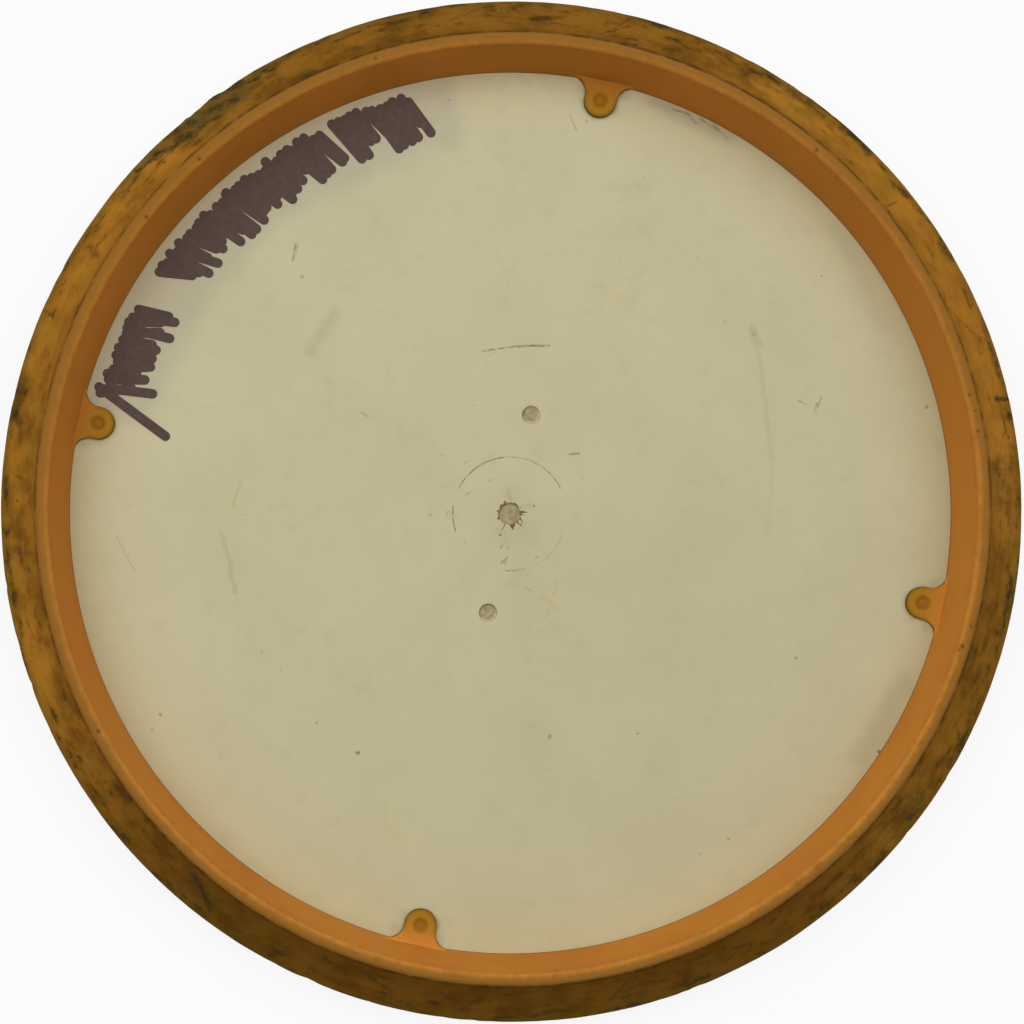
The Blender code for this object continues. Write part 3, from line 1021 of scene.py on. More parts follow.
class Finish(Nodes):
    """A node material that is painted coat by coat."""

    def __init__(self, name):
        self.material = bpy.data.materials.new(name)
        super().__init__(self.material)
        self.shader = self.tree.nodes["Principled BSDF"]
        self.hue = colours()
        self.colour = None

    def seen_place(self):
        """Seen place of a point, in millimetres, with its height as z."""
        found = self.node("TexCoord").outputs["Object"]
        made = self.node("Mapping")
        turn = (0.0, 0.0, -radians(CAMERA_TURN))
        return self.fill(made, Vector=found, Rotation=turn, Scale=(1 / MM, 1 / MM, 1 / MM)).outputs["Vector"]

    def locate(self):
        """Finds a point's seen place with and without its height, and its level, heading and radius."""
        self.solid_place = self.seen_place()
        self.place = self.vector("MULTIPLY", self.solid_place, FLATTEN)
        self.level = self.split(self.solid_place)[2]
        self.heading = self.vector("NORMALIZE", self.place)
        self.radius = self.vector("LENGTH", self.place)

    def split(self, value):
        made = self.fill(self.node("SeparateXYZ"), Vector=value)
        return made.outputs["X"], made.outputs["Y"], made.outputs["Z"]

    def upright(self):
        """How far a face looks up: 1 for a level face, 0 for a wall."""
        return self.split(self.node("NewGeometry").outputs["Normal"])[2]

    def ramp(self, value, low, high, first=0.0, last=1.0):
        """A smooth step of a value from low to high."""
        made = self.node("MapRange", interpolation_type="SMOOTHSTEP", clamp=False)
        self.fill(made, Value=value, From_Min=low, From_Max=high, To_Min=first, To_Max=last)
        return made.outputs["Result"]

    def past(self, value, start, span, *strengths):
        """A smooth step between two offsets in millimetres from a length in metres."""
        return self.ramp(value, start / MM + span[0], start / MM + span[1], *strengths)

    def band(self, value, low, high, soft):
        """1 between low and high, fading to 0 over the soft width outside them."""
        rise = self.ramp(value, low - soft, low)
        return self.times(rise, self.ramp(value, high + soft, high))

    def band_at(self, value, start, low, high, soft):
        """A band between two offsets in millimetres from a length in metres."""
        return self.band(value, start / MM + low, start / MM + high, soft)

    def weighted(self, *terms):
        """Sum of values, each times its weight."""
        result = None
        for value, weight in terms:
            part = self.times(value, weight)
            result = part if result is None else self.math("ADD", result, part)
        return result

    def frayed(self, value, noisy, amount):
        return self.math("ADD", value, self.times(noisy, amount))

    def grain(self, place, size, detail=2.0, roughness=0.5):
        """Noise with features of about a size in the place's units."""
        made = self.node("TexNoise")
        self.fill(made, Vector=place, Scale=1.0 / size, Detail=detail, Roughness=roughness)
        return made.outputs["Fac"]

    def patches(self, place, grain, limits, strengths=(0.0, 1.0)):
        """Noise turned into patches that start at the first limit and are full past the second."""
        return self.ramp(self.grain(place, *grain), *limits, *strengths)

    def specks(self, place, cell, radius, share):
        """Round specks, one at most in each cell, in a share of the cells."""
        made = self.fill(self.node("TexVoronoi"), Vector=place, Scale=1.0 / cell)
        pick = self.fill(self.node("SeparateColor"), Color=made.outputs["Color"])
        kept = self.math("LESS_THAN", pick.outputs["Red"], share)
        wide = self.times(pick.outputs["Green"], radius / cell)
        inside = self.math("SUBTRACT", wide, made.outputs["Distance"])
        return self.times(kept, self.ramp(inside, *SPECK_EDGE))

    def mix(self, amount, first, second, kind="RGBA"):
        made = self.node("Mix", data_type=kind)
        *places, result = MIX_SOCKETS[kind]
        for number, value in zip(places, (amount, first, second)):
            self.feed(made.inputs[number], value)
        return made.outputs[result]

    def coat(self, amount, colour):
        """Lays a colour over what is painted so far."""
        self.colour = self.mix(amount, self.colour, colour)

    def warped(self, place, size, amount):
        """A place shaken sideways by noise, for ragged edges."""
        made = self.fill(self.node("TexNoise"), Vector=place, Scale=1.0 / size)
        shift = self.vector("SUBTRACT", made.outputs["Color"], NOISE_MEAN)
        shift = self.vector("MULTIPLY", shift, (2 * amount, 2 * amount, 0.0))
        return self.vector("ADD", place, shift)

    def stroke(self, place, start, end, width, soft, strength=1.0):
        """A mark along a straight line between two seen places."""
        first, last = Vector(start), Vector(end)
        run = last - first
        turn = -atan2(run.y, run.x)
        middle = Matrix.Rotation(turn, 2) @ ((first + last) / 2)
        local = self.node("Mapping")
        self.fill(local, Vector=place, Rotation=(0.0, 0.0, turn), Location=(-middle.x, -middle.y, 0.0))
        folded = self.vector("ABSOLUTE", local.outputs["Vector"])
        past_end = self.vector("SUBTRACT", folded, (run.length / 2, 0.0, 0.0))
        off = self.vector("LENGTH", self.vector("MAXIMUM", past_end, ORIGIN))
        return self.ramp(off, width / 2 + soft, width / 2 - soft, 0.0, strength)

    def strokes(self, place, marks, soft, soft_share=0.0):
        """The strongest of some strokes, softened by a width and by a share of their own width."""
        return self.most(
            self.stroke(place, start, end, wide, soft + soft_share * wide, deep)
            for start, end, wide, deep in marks
        )

    def spot(self, place, spot, width, soft, strength=1.0):
        """A round mark at a seen place."""
        off = self.vector("DISTANCE", place, (*spot, 0.0))
        return self.ramp(off, width / 2 + soft, width / 2 - soft, 0.0, strength)

    def spots(self, place, centres, *terms):
        return self.most(self.spot(place, centre, *terms) for centre in centres)

    def crescent(self, place, centre, width, shift, soft, strength):
        """What a round mark shows past the same mark shifted aside."""
        whole = self.spot(place, centre, width, soft, strength)
        aside = (centre[0] + shift[0], centre[1] + shift[1])
        hidden = self.spot(place, aside, width, 2 * soft, strength)
        return self.math("MAXIMUM", self.math("SUBTRACT", whole, hidden), 0.0)

    def facing(self, bearing):
        """1 at a bearing, -1 across the disc from it."""
        return self.vector("DOT_PRODUCT", self.heading, (*seen_polar(bearing, 1.0), 0.0))

    def sector(self, first, last, soft, strength=1.0):
        """Full strength between two bearings, fading over the soft angle outside them."""
        half = (last - first) / 2
        ends = cos(radians(half + soft)), cos(radians(half))
        return self.ramp(self.facing((first + last) / 2), *ends, 0.0, strength)

    def sectors(self, stretches):
        return self.most(self.sector(*stretch) for stretch in stretches)

    def swept(self, across, along_size, across_size):
        """A place for noise drawn out round the disc, with its own grain along and across the sweep."""
        made = self.fill(self.node("CombineXYZ"), Z=self.times(across, 1.0 / across_size))
        around = self.node("VectorMath", operation="SCALE")
        self.fill(around, Vector=self.heading, Scale=SWEEP_RADIUS / along_size)
        return self.vector("ADD", around.outputs["Vector"], made.outputs["Vector"])

    def bump(self, height, distance, strength):
        made = self.fill(self.node("Bump"), Height=height, Distance=distance, Strength=strength)
        self.fill(self.shader, Normal=made.outputs["Normal"])

    def finish(self, roughness, specular):
        self.fill(self.shader, Base_Color=self.colour, Roughness=roughness, Specular_IOR_Level=specular)
        return self.material


# Scratches on the plate: seen start and end, width in millimetres, strength
PLATE_SCRATCHES = (
    ((-6.0, 35.0), (1.1, 36.1), 0.35, 0.75),
    ((1.1, 36.1), (8.4, 36.3), 0.40, 0.85),
    ((-5.0, 34.3), (0.0, 35.2), 0.25, 0.25),
    ((12.7, 85.4), (14.2, 82.3), 0.30, 0.45),
    ((34.8, 86.4), (38.5, 85.2), 0.35, 0.60),
    ((37.5, 86.0), (39.8, 83.4), 0.30, 0.55),
    ((40.6, 84.4), (44.4, 82.0), 0.40, 0.55),
    ((43.0, 83.6), (46.4, 80.3), 0.30, 0.60),
    ((61.9, 24.3), (63.6, 23.5), 0.35, 0.45),
    ((65.6, 22.0), (66.0, 23.7), 0.40, 0.60),
    ((66.3, 23.0), (66.9, 25.0), 0.30, 0.50),
    ((-46.0, 58.0), (-46.6, 54.5), 0.40, 0.60),
    ((-45.6, 57.4), (-46.0, 55.6), 0.25, 0.45),
    ((-32.0, 21.8), (-30.6, 21.0), 0.30, 0.40),
    ((-84.5, -5.0), (-80.4, -12.5), 0.35, 0.25),
    ((-9.4, 4.1), (-8.2, 5.0), 0.28, 0.55),
    ((-1.8, -7.3), (-1.7, -6.6), 0.30, 0.70),
    ((-0.4, -7.0), (0.0, -7.6), 0.25, 0.45),
    ((-1.8, -10.7), (-0.5, -9.4), 0.30, 0.60),
    ((-1.6, -10.2), (-1.0, -10.5), 0.60, 0.40),
    ((-10.1, -6.0), (-9.4, -6.3), 0.35, 0.40),
    ((5.6, -9.4), (6.1, -9.2), 0.35, 0.40),
    ((8.1, -9.7), (8.8, -9.0), 0.22, 0.45),
    ((12.9, 12.9), (14.9, 13.0), 0.40, 0.60),
    ((-9.9, 11.0), (-8.0, 11.4), 0.35, 0.22),
    ((3.2, -15.8), (4.9, -16.8), 0.35, 0.32),
    ((10.3, -14.0), (9.5, -17.3), 0.28, 0.24),
    ((8.6, -19.6), (8.0, -22.2), 0.28, 0.24),
    ((-13.6, -0.4), (-13.3, 0.6), 0.35, 0.35),
    ((-15.2, 12.9), (-14.2, 12.7), 0.30, 0.30),
)

# Single spots on the plate: seen place, width in millimetres, strength
PLATE_SPOTS = (
    ((-44.7, 50.9), 0.80, 0.55),
    ((-32.7, -51.4), 0.90, 0.65),
    ((-75.0, -43.1), 0.70, 0.60),
    ((-76.7, -46.3), 0.60, 0.50),
    ((-53.3, -29.7), 0.60, 0.45),
    ((-49.2, -33.6), 0.70, 0.35),
    ((-41.5, -45.0), 0.60, 0.45),
    ((8.6, -48.0), 0.90, 0.50),
    ((61.5, -31.0), 0.70, 0.55),
    ((46.9, -69.9), 0.60, 0.60),
    ((40.8, -72.9), 0.55, 0.50),
    ((-17.2, -0.3), 0.60, 0.40),
    ((78.9, -51.0), 0.75, 0.95),
    ((-4.1, 7.2), 0.45, 0.60),
    ((5.2, 1.7), 0.50, 0.75),
    ((10.0, -3.9), 0.40, 0.40),
    ((5.1, -2.3), 0.45, 0.30),
    ((16.3, 87.2), 1.00, 0.95),
    ((17.1, 86.6), 0.80, 0.90),
    ((16.4, 84.0), 0.55, 0.60),
    ((89.2, 22.7), 0.80, 0.55),
    ((52.5, 38.6), 0.90, 0.30),
    ((46.4, 41.4), 0.80, 0.25),
)

# Soft smears on the plate, then its yellow stains: seen start and end, width in millimetres, strength
PLATE_SMEARS = (
    ((-37.6, 43.1), (-43.0, 35.0), 2.2, 0.16),
    ((-61.9, -4.6), (-58.9, -16.6), 1.0, 0.17),
    ((53.5, 35.4), (56.3, 11.8), 0.9, 0.12),
    ((52.0, 40.0), (53.4, 36.5), 1.6, 0.16),
    ((57.0, 20.0), (55.6, -4.0), 0.9, 0.05),
    ((0.2, 3.2), (-0.3, 4.8), 1.4, 0.22),
    ((-1.5, -3.4), (-1.2, -6.0), 2.4, 0.14),
    ((-0.6, -0.6), (0.6, -0.8), 10.0, 0.10),
    ((-1.5, -2.0), (1.5, -2.6), 5.0, 0.12),
    ((2.8, 1.7), (4.8, 1.8), 1.2, 0.18),
    ((31.0, 88.0), (47.0, 80.5), 2.6, 0.22),
    ((70.0, 60.0), (80.0, 40.0), 3.0, 0.08),
    ((75.0, -52.0), (84.0, -36.0), 4.0, 0.16),
)
PLATE_STAINS = (
    ((-58.0, 6.0), (-59.5, 1.0), 0.7, 0.65),
    ((6.4, -17.9), (10.7, -20.5), 1.2, 0.40),
    ((-27.0, -63.0), (-24.0, -70.0), 1.4, 0.18),
    ((20.0, 50.0), (26.0, 44.0), 2.4, 0.12),
)

# Stretches of the witness ring that show: first and last bearing, fade in degrees, strength
RING_STRETCHES = (
    (208.0, 268.0, 4.0, 0.85),
    (268.0, 300.0, 4.0, 0.50),
    (300.0, 332.0, 4.0, 0.70),
    (164.0, 186.0, 4.0, 0.90),
    (76.0, 92.0, 4.0, 0.60),
    (22.0, 62.0, 4.0, 0.30),
)

# The ring's line: offsets of its edges from its radius and fade outside them, in millimetres
RING_LINE = (-0.04, 0.04, 0.14)

# Shading of the pits in the plate: shift and softness of a crescent in millimetres, strength
PIT_SHADOW = ((0.34, -0.38), 0.16, 0.60)
PIN_GLEAM = ((-0.20, 0.36), 0.12, 0.60)
GLEAM_SHARE = 0.88

# Dust on the plate beside each gate tab: sideways and outward offset from the tab's centre, and strength
TAB_DUST = ((-5.2, 2.0, 0.26), (4.9, 1.6, 0.22), (-3.9, -1.4, 0.20), (3.8, -0.8, 0.18), (0.6, -3.7, 0.14))

# Width and softness of a patch of dust, in millimetres
DUST_SPOT = (1.5, 1.1)

# Warps that make marks ragged: size of the noise and reach of the warp, in millimetres
EDGE_WARP = (9.0, 3.0)
SMEAR_WARP = (3.0, 0.9)
MARK_WARP = (1.1, 0.24)
PIT_WARP = (0.8, 0.14)

# Softness of marks in millimetres, and of smears as a share of their width
MARK_SOFT = 0.18
STAIN_SOFT = 0.5
SMEAR_SOFT_SHARE = 0.5

# Patterns of noise: grain in millimetres with detail and roughness, limits in the noise, strength at them
PLATE_CLOUDS = ((26.0, 3.0, 0.55), (0.35, 0.70))
PLATE_SMUDGES = ((4.5, 5.0, 0.64), (0.50, 0.76), (0.0, 0.11))
MARK_BREAKS = ((1.5, 3.0), (0.34, 0.60), (0.30, 1.0))
TORN_PATCHES = ((1.1, 3.0, 0.6), (0.38, 0.62))
OUTER_SCUFFS = ((3.0, 5.0, 0.7), (0.54, 0.76), (0.0, 0.45))
PLATE_ROUGHNESS = ((4.0, 3.0), (0.30, 0.70), (0.40, 0.55))

# Specks: cell and radius in millimetres, share of the cells that hold one
FLECKS = (6.5, 0.42, 0.30)
FINE_FLECKS = (2.6, 0.22, 0.14)
FLECK_SHARE = 0.50
FINE_FLECK_SHARE = 0.34

# Painted shade: the plate is painted darker towards one direction, over a span in millimetres
SHADE_TOWARD = (0.5, -0.86, 0.0)
SHADE_SPAN = (-90.0, 95.0)
SHADE_SHARE = 0.46
CLOUD_SHARE = 0.22

# Yellowing and painted light towards the rim, which lifts the plate where the rim shades it: radius in
# millimetres where it starts, and its strength at the rim
EDGE_TINT_FROM = 82.0
EDGE_TINT_SHARE = 0.50

# Haze of ink round the hatch: band of radii and its fade in millimetres, reach past the ends of a run and
# fade in degrees, and strength
HAZE_BAND = (82.0, 92.0, 6.0)
HAZE_BEFORE = 1.5
HAZE_AFTER = 4.0
HAZE_SOFT = 3.0
HAZE_SHARE = 0.35

# Torn floors of the pits: offsets from the plate's face and fade in millimetres, share of the patches
TORN_BAND = (-0.75, -0.06, 0.04)
TORN_PATCH_SHARE = 0.6

# Dirt on the pits' walls, and painted shade at the seam with the rim
PIT_WALL = (0.85, 0.35)
PIT_WALL_SHARE = 0.75
SEAM_SHADE_SPAN = (-0.14, -0.02)
SEAM_SHADE_SHARES = (0.0, 0.90)

# Height over the crown's rise, in millimetres, where the finish of the outer face ends
OUTER_SPAN = (0.05, 0.20)

PLATE_PITS = (0.7, 3.0)
PLATE_BUMP = (0.00002, 0.5)
PLATE_SPECULAR = 0.16


def plate_marks(paint):
    """Scratches, spots and the stretches of the witness ring that hold dirt, all broken up."""
    shaken = paint.warped(paint.place, *MARK_WARP)
    lines = paint.strokes(shaken, PLATE_SCRATCHES, MARK_SOFT)
    spots = paint.most(paint.spot(shaken, spot, wide, MARK_SOFT, deep) for spot, wide, deep in PLATE_SPOTS)
    shown = paint.sectors(RING_STRETCHES)
    on_ring = paint.band_at(paint.radius, sizes().ring_diameter / 2, *RING_LINE)
    marks = paint.most((lines, spots, paint.times(on_ring, shown)))
    return paint.times(marks, paint.patches(paint.place, *MARK_BREAKS))


def pin_places(disc):
    """Seen centres and widths of the pin marks."""
    for number in range(PIN_MARK_COUNT):
        bearing = CAMERA_TURN - 90.0 + 360.0 * number / PIN_MARK_COUNT
        yield seen_polar(bearing, disc.size.pin_offset / MM), disc.size.pin_diameter / MM


def shade_pits(paint, disc):
    """Painted shade under the upper left lips of the pits, and painted light on the lower right lips of the
    pin marks.
    """
    place = paint.warped(paint.place, *PIT_WARP)
    pins = list(pin_places(disc))
    scar = ((0.0, 0.0), disc.size.scar_diameter / MM)
    # Painted shade: dark crescents under the upper left lips. Painted light: pale crescents on the pin marks'
    # lower right lips
    shadows = paint.most(paint.crescent(place, spot, wide, *PIT_SHADOW) for spot, wide in (*pins, scar))
    paint.coat(shadows, paint.hue.scorch_and_shade)
    gleams = paint.most(paint.crescent(place, spot, GLEAM_SHARE * wide, *PIN_GLEAM) for spot, wide in pins)
    paint.coat(gleams, paint.hue.gleam)


def tab_bearings(disc):
    count = disc.size.tab_count
    return [CAMERA_TURN + 360.0 * number / count for number in range(count)]


def tab_dust_spots(disc):
    """Seen places and strengths of the dust beside the gate tabs."""
    for bearing in tab_bearings(disc):
        outward = Vector(seen_polar(bearing, 1.0))
        sideways = Vector((-outward.y, outward.x))
        for aside, out, deep in TAB_DUST:
            yield outward * (disc.tab_centre / MM + out) + sideways * aside, deep


def plate_finish():
    """Cream plastic: yellowed and painted lighter at the rim, mottled and scuffed, with dirty scratches and
    dust at the tabs, painted shade towards the lower right, in its pits and at the seam, and painted light on
    pin lips.
    """
    disc = Disc()
    paint = Finish("cream_core_plastic")
    hue = paint.hue
    paint.locate()
    wavy = paint.warped(paint.place, *EDGE_WARP)
    wavy_radius = paint.vector("LENGTH", wavy)

    clouds = paint.patches(paint.solid_place, *PLATE_CLOUDS)
    # Painted shade: the plate darkens towards the lower right, on top of its mottling
    fade = paint.ramp(paint.vector("DOT_PRODUCT", paint.place, SHADE_TOWARD), *SHADE_SPAN)
    dull_and_shade = paint.weighted((clouds, CLOUD_SHARE), (fade, SHADE_SHARE))
    plain = paint.mix(dull_and_shade, hue.cream, hue.cream_dull_and_shade)
    paint.colour = plain
    # Yellowing and painted light: the edge tint lightens the plate where the rim shades it
    yellow = paint.ramp(wavy_radius, EDGE_TINT_FROM, disc.foot / MM, 0.0, EDGE_TINT_SHARE)
    paint.coat(yellow, hue.cream_edge)
    paint.coat(paint.strokes(wavy, PLATE_STAINS, STAIN_SOFT), hue.stain)

    soft = paint.warped(paint.place, *SMEAR_WARP)
    paint.coat(paint.strokes(soft, PLATE_SMEARS, 0.0, SMEAR_SOFT_SHARE), hue.grime)
    dust = paint.most(paint.spot(soft, spot, *DUST_SPOT, deep) for spot, deep in tab_dust_spots(disc))
    paint.coat(dust, hue.dust)
    runs = [(first - HAZE_BEFORE, last + HAZE_AFTER, HAZE_SOFT) for first, last, outer in HATCH_RUNS]
    haze = paint.times(paint.sectors(runs), paint.band(wavy_radius, *HAZE_BAND))
    paint.coat(paint.times(haze, HAZE_SHARE), hue.ink_haze)

    paint.coat(paint.patches(paint.solid_place, *PLATE_SMUDGES), hue.dust)
    flecks = paint.specks(paint.solid_place, *FLECKS)
    fine_flecks = paint.specks(paint.solid_place, *FINE_FLECKS)
    paint.coat(paint.weighted((flecks, FLECK_SHARE), (fine_flecks, FINE_FLECK_SHARE)), hue.grime)
    paint.coat(plate_marks(paint), hue.grime)

    torn = paint.band_at(paint.level, disc.size.plate_thickness, *TORN_BAND)
    patchy = paint.times(paint.patches(paint.solid_place, *TORN_PATCHES), TORN_PATCH_SHARE)
    paint.coat(torn, paint.mix(patchy, hue.torn, hue.cream_dull_and_shade))
    shade_pits(paint, disc)
    steep = paint.ramp(paint.math("ABSOLUTE", paint.upright()), *PIT_WALL)
    paint.coat(paint.times(steep, PIT_WALL_SHARE), hue.scorch_and_shade)
    # Painted shade: dark umber on the plate at the seam, where the gap under the rim's foot is shaded
    paint.coat(paint.past(paint.radius, disc.foot, SEAM_SHADE_SPAN, *SEAM_SHADE_SHARES), hue.umber)

    outer_face = paint.mix(paint.patches(paint.solid_place, *OUTER_SCUFFS), plain, hue.dust)
    in_cup = paint.past(paint.level, disc.size.crown_rise, OUTER_SPAN)
    paint.colour = paint.mix(in_cup, outer_face, paint.colour)

    roughness = paint.patches(paint.solid_place, *PLATE_ROUGHNESS)
    paint.bump(paint.grain(paint.solid_place, *PLATE_PITS), *PLATE_BUMP)
    return paint.finish(roughness, PLATE_SPECULAR)


# Smudges on the wing: bearing and radius at both ends, width in millimetres, strength
WING_STAINS = (
    (35.0, 104.5, 39.5, 102.0, 4.6, 0.45),
    (127.5, 103.6, 131.0, 102.0, 3.0, 0.60),
    (143.0, 100.0, 145.0, 100.2, 2.0, 0.50),
    (175.0, 102.0, 175.6, 105.5, 2.4, 0.50),
    (191.0, 106.8, 195.0, 106.4, 2.6, 0.60),
    (211.4, 101.6, 211.8, 104.2, 1.6, 0.55),
    (244.0, 100.0, 245.4, 100.2, 1.8, 0.55),
    (300.0, 105.8, 306.0, 106.2, 2.2, 0.60),
    (311.0, 107.0, 315.0, 106.8, 1.8, 0.60),
    (328.0, 106.4, 330.0, 106.8, 1.8, 0.55),
    (355.0, 101.5, 359.5, 103.5, 4.0, 0.50),
    (8.0, 106.0, 14.0, 106.2, 1.8, 0.50),
    (22.0, 106.0, 30.0, 106.6, 1.8, 0.50),
    (338.0, 107.0, 344.0, 106.4, 1.4, 0.45),
)

# The big scrape: its grey smears, then the black blots in it, in the same terms
SCRAPE_SMEARS = (
    (224.5, 106.4, 231.5, 104.0, 3.2, 0.85),
    (229.5, 105.4, 237.0, 104.6, 5.0, 0.90),
    (235.5, 105.4, 241.0, 106.9, 1.9, 0.75),
    (220.0, 107.0, 225.0, 106.6, 1.4, 0.50),
)
SCRAPE_BLOTS = (
    (225.2, 105.2, 229.5, 103.4, 1.8, 0.90),
    (228.5, 106.4, 231.0, 106.0, 1.6, 0.75),
    (230.5, 103.4, 233.5, 102.6, 1.2, 0.80),
    (233.0, 105.4, 236.0, 103.6, 1.5, 0.75),
    (236.8, 106.4, 242.0, 105.4, 0.9, 0.95),
    (222.2, 106.4, 224.6, 104.6, 0.9, 0.75),
    (234.0, 107.2, 238.0, 107.0, 1.0, 0.70),
)

# Scratches and streaks on the wing, in the same terms
WING_SCRATCHES = (
    (203.0, 104.5, 203.3, 107.8, 0.60, 0.70),
    (280.5, 100.5, 284.0, 105.0, 0.40, 0.70),
    (281.8, 102.5, 283.4, 106.4, 0.30, 0.55),
    (321.0, 100.0, 321.3, 103.0, 0.40, 0.60),
    (347.0, 104.0, 347.4, 108.0, 0.90, 0.85),
    (348.3, 106.0, 349.5, 107.6, 0.60, 0.60),
    (127.0, 105.0, 131.0, 100.8, 0.80, 0.75),
    (7.0, 106.0, 9.0, 106.4, 0.60, 0.75),
    (11.5, 105.8, 13.2, 106.6, 0.60, 0.80),
    (14.6, 106.8, 15.8, 106.0, 0.45, 0.65),
    (214.0, 106.4, 217.5, 105.4, 0.40, 0.50),
    (62.0, 103.0, 65.0, 105.0, 0.60, 0.50),
    (76.0, 100.5, 78.5, 104.5, 0.60, 0.55),
    (93.0, 101.0, 96.0, 105.5, 0.70, 0.55),
    (104.0, 104.0, 108.0, 101.0, 0.60, 0.55),
    (117.0, 102.0, 118.5, 106.5, 0.70, 0.60),
    (150.0, 104.0, 152.0, 106.4, 0.50, 0.50),
    (163.0, 101.5, 164.4, 105.0, 0.40, 0.45),
    (183.5, 102.0, 184.6, 106.0, 0.40, 0.45),
    (262.0, 103.0, 266.0, 105.5, 0.40, 0.40),
    (337.0, 101.0, 339.5, 104.0, 0.40, 0.45),
    (25.0, 101.5, 27.0, 105.5, 0.45, 0.45),
)

# Bearing where the wall is painted darkest: painted shade on the side of the wall turned from the lamps
WALL_SHADE_BEARING = 255.0

# Stretches of the wing painted darker, as ground-in dirt and painted shade: first and last bearing, fade in
# degrees, strength
WING_DARKER_STRETCHES = (
    (62.0, 125.0, 40.0, 0.72),
    (246.0, 282.0, 20.0, 0.38),
    (14.0, 44.0, 20.0, 0.40),
    (172.0, 186.0, 9.0, 0.16),
)

# Stretches of the wing painted lighter towards the lamps, as rubbed wear and painted light, in the same terms
WING_LIGHTER_STRETCHES = ((318.0, 344.0, 10.0, 0.55), (200.0, 216.0, 8.0, 0.35), (346.0, 360.0, 10.0, 0.25))

# Stretches of the crease painted black, as dirt and as painted shade in the corner, in the same terms
CREASE_BLACK_STRETCHES = (
    (130.0, 138.0, 3.0, 0.70),
    (229.0, 250.0, 3.0, 0.40),
    (277.0, 310.0, 3.0, 0.80),
    (310.0, 360.0, 3.0, 0.40),
    (30.0, 38.0, 3.0, 0.45),
    (255.0, 277.0, 3.0, 0.30),
    (60.0, 100.0, 3.0, 0.35),
    (0.0, 30.0, 3.0, 0.30),
)

# Noise on the wing: grain in millimetres with detail and roughness. Streaks and hairs are first swept round
# the disc, with a size along and across the sweep.
STREAK_SIZE = (5.5, 2.8)
STREAK_NOISE = (1.0, 3.0, 0.52)
HAIR_SIZE = (6.0, 0.5)
HAIR_NOISE = (1.0, 3.0, 0.6)
BLOTCH_NOISE = (7.5, 3.0, 0.52)
FINE_NOISE = (2.2, 5.0, 0.66)
STRAW_PATCHES = ((11.0, 3.0, 0.6), (0.46, 0.66), (0.0, 0.40))

# Shares of blotches, streaks and fine grain in the wing's tone, and of streaks and fine grain in edge dirt
TONE_SHARES = (0.55, 0.30, 0.15)
EDGE_DIRT_SHARES = (0.6, 0.4)

# Steps of noise: limits in the noise, then strength at the limits
UMBER_TONES = (0.40, 0.62, 0.0, 0.95)
EDGE_DIRT_TONES = (0.56, 0.70, 0.0, 0.70)
CRUMBLE = (0.34, 0.56, 0.30, 1.0)
SMEARING = (0.30, 0.62, 1.0, 0.45)
HAIRLINES = (0.60, 0.70, 0.0, 0.22)

# Steps over the wing: radii in millimetres, then strength at them
UMBER_RADII = (103.0, 98.8, 0.0, 0.35)
OLIVE_RADII = (106.4, 109.6, 0.0, 0.60)
EDGE_DIRT_RADII = (103.0, 107.6, 0.0, 0.12)
OLIVE_FRAY = 3.0

# Offsets in millimetres from the nose's level, between which marks on the wing end
NOSE_LEVELS = (-2.2, -0.4)

# Warps of the wing's marks: size of the noise and reach of the warp, in millimetres
RAGGED_WARPS = ((3.2, 1.6), (0.9, 0.5))
SCRATCH_WARP = (1.2, 0.6)
PEPPER_WARP = (0.7, 0.3)

# Softness of the wing's marks, as a share of their width
WING_STAIN_SOFT = 0.5
SCRAPE_SMEAR_SOFT = 0.35
SCRAPE_BLOT_SOFT = 0.4
WING_SCRATCH_SOFT = 0.55

# Specks: cell and radius in millimetres, share of the cells that hold one
PEPPER = (2.6, 0.45, 0.20)
PEPPER_SHARE = 0.55


def drawn(paint, place, marks, softness):
    """The strongest of some marks on the wing, each drawn from one bearing and radius to another."""
    return paint.most(
        paint.stroke(place, seen_polar(first, inner), seen_polar(last, outer), wide, wide * softness, deep)
        for first, inner, last, outer, wide, deep in marks
    )


